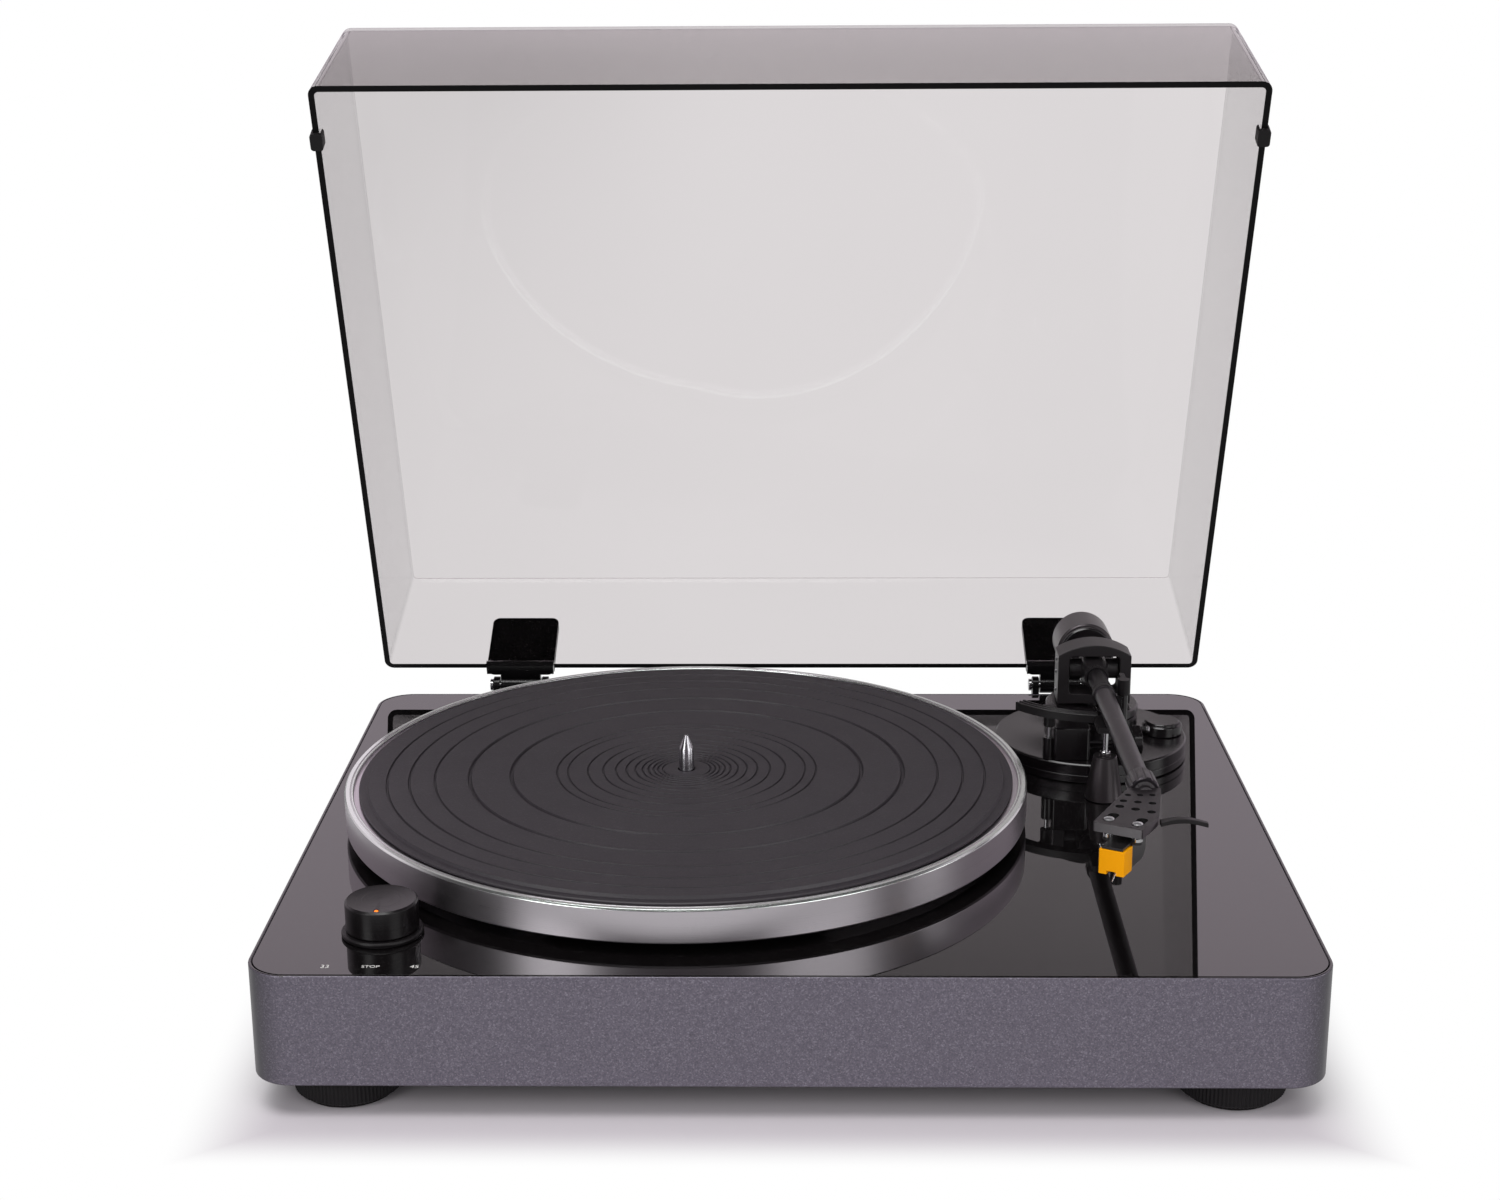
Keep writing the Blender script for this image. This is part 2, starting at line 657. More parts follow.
def turned_metal(name, colour, roughness, centre, lines=14000.0, strength=1.0, metal=1.0):
    material = finish(name, colour, roughness=roughness, grain_size=1200, grain=0.04, marks=0.04,
                      dust=0.02, Metallic=metal)
    tree = material.node_tree
    shader = tree.nodes["Principled BSDF"]
    shift = tree.nodes.new("ShaderNodeMapping")
    shift.inputs["Location"].default_value = (-centre.x, -centre.y, 0)
    tree.links.new(tree.nodes["Texture Coordinate"].outputs["Object"], shift.inputs["Vector"])
    parts = tree.nodes.new("ShaderNodeSeparateXYZ")
    tree.links.new(shift.outputs[0], parts.inputs[0])
    square = maths(tree, "ADD", maths(tree, "MULTIPLY", parts.outputs["X"], parts.outputs["X"]),
                   maths(tree, "MULTIPLY", parts.outputs["Y"], parts.outputs["Y"]))
    ring = tree.nodes.new("ShaderNodeCombineXYZ")
    distance = maths(tree, "SQRT", square)
    tree.links.new(maths(tree, "MULTIPLY", distance, ring_share), ring.inputs["X"])
    tree.links.new(parts.outputs["Z"], ring.inputs["Y"])
    grooves = noise(tree, ring.outputs[0], lines, detail=3.0, roughness=0.7)
    own_normal = tree.nodes["Texture Coordinate"].outputs["Normal"]
    flat = tree.nodes.new("ShaderNodeCombineXYZ")
    tree.links.new(parts.outputs["X"], flat.inputs["X"])
    tree.links.new(parts.outputs["Y"], flat.inputs["Y"])
    outward = vectors(tree, "NORMALIZE", flat.outputs[0])
    round_way = vectors(tree, "CROSS_PRODUCT", (0, 0, 1), outward)
    across = vectors(tree, "CROSS_PRODUCT", own_normal, round_way)
    tilt = maths(tree, "MULTIPLY", maths(tree, "SUBTRACT", grooves, 0.5), strength)
    shifted = vectors(tree, "ADD", own_normal, vectors(tree, "SCALE", across, tilt))
    out = tree.nodes.new("ShaderNodeVectorTransform")
    out.vector_type = "NORMAL"
    out.convert_from = "OBJECT"
    out.convert_to = "WORLD"
    tree.links.new(vectors(tree, "NORMALIZE", shifted), out.inputs[0])
    tree.links.new(out.outputs[0], shader.inputs["Normal"])
    rough = maths(tree, "ADD", tree.nodes["surface"].outputs["Roughness"],
                  maths(tree, "MULTIPLY", maths(tree, "SUBTRACT", grooves, 0.5), gloss_change))
    tree.links.new(rough, shader.inputs["Roughness"])
    return material


platter_metal = turned_metal("platter_metal", "d8d2d8", roughness=0.3, centre=spindle_place,
                             strength=0.5)
print(platter_metal.name, "has", len(platter_metal.node_tree.nodes), "nodes")

# %% [markdown]
# The platter is a shallow dish: a thin web with a deep rim round it. Its section is closed, so
# that it has a bore, and is spun in 256 steps, which keeps so wide a round smooth. A raised ring
# stands round the mat, with a fine groove in it. The ring is polished brighter than the side, so
# its faces get a second finish.

# %% Platter
platter_radius = radius_of("platter")
platter_under, platter_top = above_deck("platter")
ring_inner = platter_radius - 4.2
rim_inner = platter_radius - 10
recess = platter_top - 1.8
web_under = recess - 4
platter_bore = 3.9
ring_slant = 0.3
ring_depth = 0.95
platter_section = [
    (platter_bore, web_under), (rim_inner - 6, web_under), (rim_inner, web_under - 3),
    (rim_inner, platter_under), (platter_radius - 0.8, platter_under),
    (platter_radius, platter_under + 0.8), (platter_radius, platter_top - 0.9),
    (platter_radius - 0.7, platter_top), (platter_radius - 2.6, platter_top),
    (platter_radius - 2.7, platter_top - 0.5), (platter_radius - 3.1, platter_top - 0.5),
    (platter_radius - 3.2, platter_top - 0.1), (ring_inner + 0.3, platter_top - 0.1),
    (ring_inner, platter_top - 0.4), (ring_inner, recess), (platter_bore, recess),
]
dish_blank = loose(turned(platter_section, 256, closed=True))
for face in dish_blank.data.polygons:
    on_ring = face.normal.z > ring_slant and face.center.z > platter_top - ring_depth
    face.material_index = int(on_ring)
ring_metal = finish("ring_metal", "e9f1ec", roughness=0.2, grain_size=1200, grain=0.04, marks=0.04,
                    dust=0.02, Metallic=1.0)
finish_piece("platter_dish", dish_blank, at(spindle_place), [platter_metal, ring_metal], "platter",
             ["platter"], 0.2, 2)

# %% [markdown]
# The mat is black rubber, warm grey under the lamps. Moulded rings run round it: single thin ones
# outside, two deep ones at the edge of the label's ring, and a field of close rings in the
# middle. They are real grooves in the section, so their shadows turn with the light.

# %% Mat
mat_radius = radius_of("platter_mat")
mat_bottom, mat_top = above_deck("platter_mat")
mat_lip = 4
lip_drop = 1.4
mat_bore = 4.2
thin_shares = [0.915, 0.848, 0.771]
deep_shares = [0.665, 0.538]
inner_shares = [0.398, 0.365, 0.304, 0.257, 0.218, 0.186, 0.158, 0.136, 0.118, 0.102, 0.088, 0.074]
mat_section = [
    (mat_bore, mat_bottom), (mat_radius - 0.5, mat_bottom), (mat_radius, mat_bottom + 0.5),
    (mat_radius, mat_top - lip_drop - 0.4), (mat_radius - 0.5, mat_top - lip_drop),
    (mat_radius - mat_lip, mat_top - lip_drop), (mat_radius - mat_lip - 0.7, mat_top),
]
ring_kinds = [(thin_shares, 1.3, 0.9), (deep_shares, 2.2, 1.3), (inner_shares, 1.1, 0.8)]
for shares, width, depth in ring_kinds:
    for share in shares:
        ring = share * mat_radius
        mat_section += [(ring + width / 2, mat_top), (ring + width / 4, mat_top - depth),
                        (ring - width / 4, mat_top - depth), (ring - width / 2, mat_top)]
mat_section.append((mat_bore, mat_top))
mat_rubber = finish("mat_rubber", "2a252b", roughness=0.55, grain_size=1700, grain=1.4, marks=0.12,
                    dust=0.04, bump=1.0, IOR=1.6)
finish_piece("ribbed_mat", turned(mat_section, 192, closed=True), at(spindle_place), mat_rubber,
             "platter", ["platter_mat"], 0)

# %% [markdown]
# The spindle is a ground steel pin with a pointed tip. Below the platter it runs down into its
# bearing, and carries the white sub-platter that the belt drives.

# %% Spindle and sub-platter
spindle_foot, spindle_tip = above_deck("spindle")
pin_radius = 3.6
journal_radius = 5
spindle_section = [
    (0, spindle_foot), (journal_radius, spindle_foot), (journal_radius, web_under - gap),
    (pin_radius, web_under - gap), (pin_radius, spindle_tip - 7),
    (pin_radius - 0.5, spindle_tip - 6.2), (0.9, spindle_tip - 0.5), (0, spindle_tip),
]
spindle_metal = turned_metal("spindle_metal", "a3a2a6", roughness=0.2, centre=spindle_place,
                             lines=6000, strength=0.25)
finish_piece("spindle_pin", turned(spindle_section, 64), at(spindle_place), spindle_metal,
             "platter", ["spindle"], 0.15, 2)
sub_low, sub_top = above_deck("sub_platter")
sub_bore, sub_hub, sub_skirt, sub_radius = 5.3, 14, 58.5, 62
sub_web = sub_top - 3
sub_section = [
    (sub_bore, sub_low), (sub_hub, sub_low), (sub_hub, sub_web), (sub_skirt, sub_web),
    (sub_skirt, sub_low), (sub_radius, sub_low), (sub_radius, sub_top), (sub_bore, sub_top),
]
finish_piece("sub_platter_wheel", turned(sub_section, 128, closed=True), at(spindle_place),
             white_plastic, "platter", ["sub_platter"], 0.4, 2)

# %% [markdown]
# The speed knob is a turned black cap with a faintly sunk top and a hole for a small light near
# its front edge. Its stem goes down through the plate to the switch. The cap stands on a wider
# ring.

# %% Speed knob
knob_radius = radius_of("speed_knob")
knob_top = above_deck("speed_knob")[1]
ring_top = above_deck("knob_ring")[1]
stem_radius = 3
stem_foot = -16
light_place = (middle("knob_light") - knob_place) / MM
knob_section = [
    (0, stem_foot), (stem_radius, stem_foot), (stem_radius, ring_top + gap),
    (knob_radius - 0.4, ring_top + gap), (knob_radius, ring_top + gap + 0.4),
    (knob_radius, knob_top - 0.9), (knob_radius - 0.9, knob_top),
    (knob_radius - 1.3, knob_top - 0.1), (0, knob_top - 0.35),
]
light_hole = rod(1.2, knob_top - 1.3, knob_top + past, 24, light_place.x, light_place.y)
knob_blank = cut(turned(knob_section, 128), light_hole)
knob_coat = turned_metal("knob_coat", "120f11", roughness=0.3, centre=knob_place, lines=14000.0,
                         strength=0.3, metal=0.1)
finish_piece("speed_cap", knob_blank, at(knob_place), knob_coat, "knob", ["speed_knob"],
             0.15, 2)
ring_section = [(3.3, gap), (17.2, gap), (17.5, gap + 0.5), (17.5, ring_top - 0.8),
                (17, ring_top - 0.1), (3.3, ring_top)]
finish_piece("speed_ring", turned(ring_section, 128, closed=True), at(knob_place), satin_black,
             "plinth", ["knob_ring"], 0.15, 2)

# %% [markdown]
# The light is a small domed lens in the knob's hole. It glows only a little, so it is given some
# emission of its own colour instead of a lamp.


# %% Knob light
def glowing(name, colour, strength):
    material = finish(name, colour, roughness=0.3)
    shader = material.node_tree.nodes["Principled BSDF"]
    shader.inputs["Emission Color"].default_value = by_colour(colour)
    shader.inputs["Emission Strength"].default_value = strength
    return material


orange_light = glowing("orange_light", "ff7a1c", 1.0)
lens_section = [(0, knob_top - 1.0), (0.9, knob_top - 1.0), (0.9, knob_top - 0.3),
                (0.6, knob_top - 0.08), (0, knob_top)]
finish_piece("knob_lens", moved(turned(lens_section, 32), light_place.x, light_place.y),
             at(knob_place), orange_light, "knob", ["knob_light"], 0)

# %% [markdown]
# The marks 33, STOP and 45 are white ink on the plate in front of the knob. A text object draws
# the letters and pulls them up by the thickness of the ink. It is made a mesh before it is
# placed, as every other piece is.

# %% Speed marks
mark_line = -33.6
ink_thickness = 0.005
ink_lift = 0.012
marks = (("33", -18.6, 3.9), ("STOP", 0.3, 3.2), ("45", 18.6, 3.9))


def printed_mark(text, x, size):
    curve = bpy.data.curves.new("mark_" + text, "FONT")
    curve.body = text
    curve.size = size
    curve.extrude = ink_thickness
    curve.align_x = "CENTER"
    curve.align_y = "CENTER"
    drawn = bpy.data.objects.new("mark_" + text, curve)
    scene.collection.objects.link(drawn)
    bpy.context.view_layer.update()
    seen = drawn.evaluated_get(bpy.context.evaluated_depsgraph_get())
    mesh = bpy.data.meshes.new_from_object(seen)
    bpy.data.objects.remove(drawn)
    obj = bpy.data.objects.new("mark_" + text, mesh)
    scene.collection.objects.link(obj)
    mesh.transform(Matrix.Translation((x, mark_line, ink_lift)))
    return finish_piece("printed_" + text, obj, at(knob_place), white_ink, "plinth", (),
                        0)


for text, x, size in marks:
    printed_mark(text, x, size)

# %% [markdown]
# The cover is clear grey acrylic, 3 mm thick. Its tint is in the glass, so two walls look darker
# than one. Light that passes at a slant goes a longer way through the wall, so the tint deepens
# with the Facing output of a Layer Weight node. A low index keeps what stands behind it in its
# place.

# %% Clear acrylic
acrylic_index = 1.22
slant_power = 2.5
haze_share = 0.02


def clear_acrylic():
    material = bpy.data.materials.new("tinted_acrylic")
    material.use_nodes = True
    tree = material.node_tree
    shader = tree.nodes["Principled BSDF"]
    shader.inputs["Transmission Weight"].default_value = 1
    shader.inputs["IOR"].default_value = acrylic_index
    place = tree.nodes.new("ShaderNodeTexCoord").outputs["Object"]
    haze = noise(tree, place, scale=9.0, detail=3.0)
    tint = blended(tree, haze, by_colour("dcd8d9"), by_colour("dfdbdc"))
    slant = tree.nodes.new("ShaderNodeLayerWeight")
    slant.inputs["Blend"].default_value = 0.5
    deeper = maths(tree, "POWER", slant.outputs["Facing"], slant_power)
    tree.links.new(blended(tree, deeper, tint, by_colour("8f8c8d")), shader.inputs["Base Color"])
    tree.links.new(maths(tree, "MULTIPLY", haze, haze_share), shader.inputs["Roughness"])
    return material


tinted_acrylic = clear_acrylic()
print(tinted_acrylic.name, "has an index of", acrylic_index)

# %% [markdown]
# The cover is drawn shut, about its hinge line, as a box that narrows to its crown and is open
# below. Its upright and crown edges are bevelled round, and Solidify then gives the wall. The rim
# faces that Solidify adds get the dark look of a cut edge. One matrix with the hinge's turn opens
# it.

# %% Dust cover
lid_line = Vector(joint["lid_hinge"]["pos_m"])
lid_open = math.radians(69)
lid_width = (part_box("dust_cover")[1].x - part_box("dust_cover")[0].x) / MM
lid_depth = plinth_depth - 8
lid_height = 75.7
lid_wall = 3
lid_draft = 4.5
lid_corner = 5
lid_rim = (deck - lid_line.z) / MM + 2.9
lid_back = -11
lid_front = lid_back - lid_depth
lid_lean = math.atan(lid_draft / lid_height)
lid_turn = at(lid_line, Matrix.Rotation(-lid_open, 4, "X"))
hinge_xs = [middle("hinge_pin_" + side).x / MM - lid_line.x / MM for side in ("left", "right")]
crown_round = 2.2
crease_angle = 1.2


def cover_shell():
    bm = block(-lid_width / 2, lid_width / 2, lid_front, lid_back, lid_rim, lid_rim + lid_height)
    crown = [v for v in bm.verts if v.co.z > lid_rim + 1]
    bmesh.ops.scale(bm, vec=(1 - 2 * lid_draft / lid_width, 1 - 2 * lid_draft / lid_depth, 1),
                    space=Matrix.Translation((0, -(lid_front + lid_back) / 2, 0)), verts=crown)
    mouth = [f for f in bm.faces if f.calc_center_median().z < lid_rim + 1]
    bmesh.ops.delete(bm, geom=mouth, context="FACES_ONLY")
    round_edges(bm, uprights(bm), lid_corner, 8)
    crown_edges = [e for e in bm.edges if e.is_manifold and e.calc_face_angle() > crease_angle
                   and min(v.co.z for v in e.verts) > lid_rim + lid_height - 0.01]
    round_edges(bm, crown_edges, crown_round, 5)
    obj = loose(bm)
    wall = obj.modifiers.new("wall", "SOLIDIFY")
    wall.thickness = lid_wall
    wall.offset = -1
    wall.use_even_offset = True
    wall.use_rim = True
    wall.material_offset_rim = 1
    obj.data.materials.append(tinted_acrylic)
    obj.data.materials.append(acrylic_edge)
    settle(obj)
    return obj


socket_width = 37
socket_foot = 4.2
notches = [block(x - socket_width / 2 - gap, x + socket_width / 2 + gap,
                 lid_back - lid_wall - past, lid_back + past,
                 lid_rim - past, lid_rim + socket_foot / 2 + gap) for x in hinge_xs]
cover_blank = cover_shell()
finish_piece("clear_cover", cut(cover_blank, *notches), lid_turn, [tinted_acrylic, acrylic_edge],
             "lid", ["dust_cover"], 0)

# %% [markdown]
# Two small rubber shoes clip over the side rims of the cover and keep it off the plinth. Each is
# a short channel: a block with a slot cut for the wall. The left one is the right one mirrored,
# which turns its faces inside out, so they are flipped back.

# %% Cover shoes
shoe_middle = lid_front + 28
shoe_length = 8.5
shoe_wall = 1.5
shoe_grip = 4.2
rim_stand = 2.9
mirror_x = Matrix.Scale(-1, 4, (1, 0, 0))
for side, name in ((-1, "left"), (1, "right")):
    outer = lid_width / 2 + shoe_wall
    inner = lid_width / 2 - lid_wall - shoe_wall
    shoe = block(inner, outer, shoe_middle - shoe_length / 2, shoe_middle + shoe_length / 2,
                 lid_rim - rim_stand + gap, lid_rim + shoe_grip)
    round_edges(shoe, uprights(shoe), 1.4, 4)
    slot = block(lid_width / 2 - lid_wall - gap - 0.3, lid_width / 2 + gap,
                 shoe_middle - shoe_length, shoe_middle + shoe_length,
                 lid_rim - gap, lid_rim + shoe_grip + past)
    shoe_blank = cut(shoe, slot)
    if side < 0:
        shoe_blank.data.transform(mirror_x)
        shoe_blank.data.flip_normals()
    finish_piece("cover_shoe_" + name, shoe_blank, lid_turn, rubber, "lid", ["lid_bumper_" + name],
                 0.4)

# %% [markdown]
# Some pieces are plates of an odd outline, such as the ears of a hinge. Their outline is one
# face, which extrude_face_region pulls up to a solid. Rods that lie across the turntable are
# turned standing on Z, and are then laid down by a quarter turn.


# %% Pulled-up outlines and lying rods
def pulled_up(outline, low, high):
    """A closed outline of (x, y) points, filled and pulled from low to high."""
    bm = bmesh.new()
    face = bm.faces.new([bm.verts.new((x, y, low)) for x, y in outline])
    made = bmesh.ops.extrude_face_region(bm, geom=[face])
    bmesh.ops.translate(bm, vec=(0, 0, high - low), verts=points_in(made))
    bmesh.ops.recalc_face_normals(bm, faces=bm.faces)
    return bm


def along_x(bm):
    """Lays a piece that stands on Z down, so that its top points along +X."""
    bmesh.ops.rotate(bm, cent=(0, 0, 0), matrix=Matrix.Rotation(math.pi / 2, 3, "Y"),
                     verts=bm.verts)
    return bm


trial = pulled_up([(0, 0), (4, 0), (0, 3)], 0, 2)
print("a trial wedge has", len(trial.faces), "faces")
trial.free()

# %% [markdown]
# Each hinge has a moving half of glossy black plastic, a flat tab behind the cover with a step
# under its edge and a central barrel, and a fixed half with two ears. A steel pin runs through
# all of it.

# %% Hinge sizes
knuckle = 4.6
knuckle_width = 22
pin_bore = 2.3
shank_radius = 2
pin_head_radius, pin_head = 3.3, 1.6
ear_thickness = 3.6
ear_start = knuckle_width / 2 + 0.6
pin_length = ear_start + ear_thickness + gap
tab_depth, tab_thickness = 41, 5
step_low = lid_rim - rim_stand + 0.6
step_high = lid_rim + socket_foot / 2
step_back, step_front = -8.4, -9
backing_width, backing_height, backing_thickness, backing_drop = 40, 26, 3, 13
ear_drop = 23
quarter_x = Matrix.Rotation(math.pi / 2, 4, "X")
quarter_z = Matrix.Rotation(math.pi / 2, 4, "Z")
print("each hinge is", round(2 * (pin_length + pin_head), 1), "mm across its pin")

# %% [markdown]
# The moving half is three solids joined: the tab, which leans with the cover's back, the step
# that carries the cover's edge and narrows to a neck, and the barrel. The bore for the pin is cut
# last, so that it runs through whatever it meets.


# %% Moving half and pin
def hinge_half(x):
    """The tab, step and barrel of one hinge, drawn about the hinge line."""
    tab = rounded_block(socket_width, tab_depth, 0, tab_thickness, 4, 8, 0, tab_depth / 2)
    lean = Matrix.Translation((x, lid_back + gap, lid_rim)) @ Matrix.Rotation(lid_lean, 4, "X")
    bmesh.ops.transform(tab, verts=tab.verts,
                        matrix=lean @ quarter_x @ Matrix.Translation((0, 0, -tab_thickness)))
    step = block(x - socket_width / 2, x + socket_width / 2, lid_back - lid_wall, step_back,
                 step_low, step_high)
    neck = block(x - knuckle_width / 2, x + knuckle_width / 2, step_front, 0, step_low, step_high)
    barrel = moved(along_x(rod(knuckle, -knuckle_width / 2, knuckle_width / 2, 64)), x)
    bore = moved(along_x(rod(pin_bore, -knuckle_width, knuckle_width, 32)), x)
    return cut(fused(tab, step, neck, barrel), bore)


def hinge_pin(x):
    """A steel pin with a flat head at both ends."""
    shank = rod(shank_radius, -pin_length - gap, pin_length + gap, 32)
    right_head = rod(pin_head_radius, pin_length, pin_length + pin_head, 32)
    left_head = rod(pin_head_radius, -pin_length - pin_head, -pin_length, 32)
    return fused(*(moved(along_x(part), x) for part in (shank, right_head, left_head)))


print("the pin has", round(pin_bore - shank_radius, 2), "mm of play in its bore")

# %% [markdown]
# The fixed half is a plate screwed to the back of the plinth with two ears, one at each side of
# the barrel. An ear is an outline in the plane across the pin: it starts at the plate and ends in
# a round about the pin, which the bevel of its two top edges gives.

# %% Fixed half, and both hinges made
plate_top = plinth_top - 9 - lid_line.z / MM
plate_face = plinth_depth / 2 + gap - (lid_line.y - plinth_place.y) / MM
ear_outline = [
    (-knuckle, -knuckle), (plate_face, plate_top), (plate_face, plate_top - ear_drop),
    (plate_face + backing_thickness, plate_top - ear_drop), (knuckle, 0), (knuckle, knuckle),
    (-knuckle, knuckle),
]


def hinge_ear(start):
    ear = pulled_up(ear_outline, 0, ear_thickness)
    crown = [e for e in uprights(ear) if min(v.co.y for v in e.verts) > knuckle - 0.1]
    round_edges(ear, crown, knuckle - 0.1, 10)
    bmesh.ops.transform(ear, verts=ear.verts,
                        matrix=Matrix.Translation((start, 0, 0)) @ quarter_z @ quarter_x)
    return ear


def hinge_fixed_half(x):
    """The plate on the plinth with its two ears, bored for the pin."""
    backing = rounded_block(backing_width, backing_height, 0, backing_thickness, 3, 8, 0,
                            -backing_drop)
    on_plinth = Matrix.Translation((x, plate_face + backing_thickness, plate_top)) @ quarter_x
    bmesh.ops.transform(backing, verts=backing.verts, matrix=on_plinth)
    ears = [hinge_ear(x - ear_start - ear_thickness), hinge_ear(x + ear_start)]
    return cut(fused(backing, *ears), moved(along_x(rod(pin_bore, -20, 20, 32)), x))


for name, x in zip(("left", "right"), hinge_xs):
    finish_piece("hinge_tab_" + name, hinge_half(x), lid_turn, hinge_black, "lid",
                 ["hinge_socket_" + name], 0.35)
    finish_piece("hinge_rod_" + name, hinge_pin(x), at(lid_line), polished_steel, "plinth",
                 ["hinge_pin_" + name], 0.3)
    finish_piece("hinge_ears_" + name, hinge_fixed_half(x), at(lid_line), hinge_black, "plinth",
                 ["hinge_bracket_" + name], 0.35)

# %% [markdown]
# The arm stands on a black disc with a fine seam round its side. A pedestal rises from its middle
# and holds the swing bearing. Both are turned in one go from a single section, with the bore for
# the yoke's shaft down the middle.

# %% Arm base
disc_radius = 48.2
disc_top = 10.3
pedestal_radius = 23.5
pedestal_top = 27.5
seam = 4.4
base_section = [
    (0, -20), (13.7, -20), (13.7, gap), (disc_radius - 0.4, gap), (disc_radius, gap + 0.4),
    (disc_radius, seam - 0.2), (disc_radius - 0.35, seam), (disc_radius, seam + 0.2),
    (disc_radius, disc_top - 0.7), (disc_radius - 0.7, disc_top), (pedestal_radius + 0.8, disc_top),
    (pedestal_radius, disc_top + 0.3), (pedestal_radius - 0.6, pedestal_top - 5.2),
    (pedestal_radius - 1.4, pedestal_top - 5), (pedestal_radius - 1.4, pedestal_top - 4.4),
    (pedestal_radius - 0.2, pedestal_top - 4.2), (pedestal_radius - 0.2, pedestal_top - 0.8),
    (pedestal_radius - 1, pedestal_top), (12, pedestal_top), (11.6, pedestal_top - 0.8),
    (4.8, pedestal_top - 0.8), (4.8, -12.5), (0, -12.5),
]
arm_black = finish("arm_black", "100d0f", roughness=0.22, grain_size=2600, grain=0.2, marks=0.1,
                   dust=0.03, bump=0.1, IOR=1.6)
dial_x = 36.4
dial_hole = rod(2.8, disc_top - 6.3, disc_top + past, 32, dial_x, 0)
base_blank = cut(turned(base_section, 160), dial_hole)
finish_piece("arm_pedestal", base_blank, at(arm_place), arm_black, "plinth", ["arm_base"],
             0.15, 2)

# %% [markdown]
# The anti-skate dial is a low round cap with a finger ring and a thin bright line round its top,
# where the lamp catches the turned edge.

# %% Anti-skate dial
dial_low = disc_top + gap
dial_section = [
    (0, disc_top - 5.7), (2.5, disc_top - 5.7), (2.5, dial_low), (9.7, dial_low),
    (10, dial_low + 0.3), (10, dial_low + 4.6), (9.5, dial_low + 5.2), (9.1, dial_low + 5.2),
    (8.9, dial_low + 4.9), (8.6, dial_low + 5.2), (8.6, dial_low + 6.0), (8.2, dial_low + 6.4),
    (0, dial_low + 6.3),
]
dial_blank = moved(turned(dial_section, 96), dial_x)
finish_piece("skate_dial", dial_blank, at(arm_place), arm_black, "antiskate", ["antiskate_dial"],
             0.12, 2)

# %% [markdown]
# Beside the pedestal stands the housing of the lift, a small block with soft upper edges. A
# sleeve at its side guides the rod of the lift bar, and a bore across it takes the shaft of the
# cue lever.

# %% Lift housing
guide_x, guide_y = -25.39, -37.64
sleeve_radius, sleeve_height = 2.9, 11
guide_bore, guide_foot = 1.5, disc_top + 0.6
lever_y, lever_z = -33.6, 17
housing_x, housing_y, housing_top = -14.3, -33.1, 27
on_disc = disc_top + gap
housing = rounded_block(18, 17, on_disc, housing_top, 1.6, 6, housing_x, housing_y)
crown = [e for e in housing.edges if min(v.co.z for v in e.verts) > housing_top - 0.1]
round_edges(housing, crown, 0.8, 4)
sleeve = rod(sleeve_radius, on_disc, on_disc + sleeve_height, 48, guide_x, guide_y)
guide_hole = rod(guide_bore, guide_foot, housing_top + 3, 32, guide_x, guide_y)
lever_bore = moved(along_x(rod(1.8, housing_x, -5, 32)), 0, lever_y, lever_z)
housing_blank = cut(fused(housing, sleeve), guide_hole, lever_bore)
finish_piece("cue_housing", housing_blank, at(arm_place), arm_black, "plinth", ["lift_housing"],
             0.2, 2)

# %% [markdown]
# In front of the disc stands the damper, a tapered pot of stiff grease that lets the arm down
# slowly. It is turned from one section with the bore for the piston. A small steel collar closes
# its top, and the piston rises through it.

# %% Lift damper
pot_x, pot_y = -1.1, -65.2
pot_top = gap + 21.5
pot_section = [
    (0, gap), (9.0, gap), (9.2, gap + 0.3), (5.7, pot_top - 0.25), (5.35, pot_top),
    (3.2, pot_top), (3.0, pot_top - 0.3), (2.6, pot_top), (2.6, pot_top + 1.4),
    (2.4, pot_top + 1.6), (1.6, pot_top + 1.6), (1.6, pot_top - 12), (0, pot_top - 12),
]
pot_black = finish("pot_black", "4a4648", roughness=0.3, grain_size=2600, grain=0.1, marks=0.08,
                   dust=0.1, Metallic=0.9)
finish_piece("damper_pot", moved(turned(pot_section, 96), pot_x, pot_y), at(arm_place), pot_black,
             "plinth", ["lift_damper"], 0)
collar_section = [
    (1.65, pot_top + 1.6), (2.5, pot_top + 1.6), (2.5, pot_top + 2.3), (2.2, pot_top + 2.6),
    (1.65, pot_top + 2.6),
]
finish_piece("damper_collar", moved(turned(collar_section, 64, closed=True), pot_x, pot_y),
             at(arm_place), polished_steel, "plinth", (), 0)

# %% [markdown]
# The lift bar is a curved rubber-topped rail that follows the swing of the arm. Its section has
# ridges that keep the tube from sliding. The section is spun over 47 degrees about the arm's
# axis, and its two open ends are filled.


# %% Lift bar and its rods
def swept(profile, from_angle, to_angle, steps):
    """A closed section spun over a part of a circle, with closed ends."""
    bm = bmesh.new()
    points = [bm.verts.new((radius, 0, height)) for radius, height in profile]
    edges = [bm.edges.new(pair) for pair in zip(points, points[1:] + points[:1])]
    bmesh.ops.rotate(bm, cent=(0, 0, 0), matrix=Matrix.Rotation(math.radians(from_angle), 3, "Z"),
                     verts=points)
    bmesh.ops.spin(bm, geom=points + edges, cent=(0, 0, 0), axis=(0, 0, 1),
                   angle=math.radians(to_angle - from_angle), steps=steps)
    bmesh.ops.holes_fill(bm, edges=[e for e in bm.edges if e.is_boundary], sides=0)
    bmesh.ops.recalc_face_normals(bm, faces=bm.faces)
    return bm


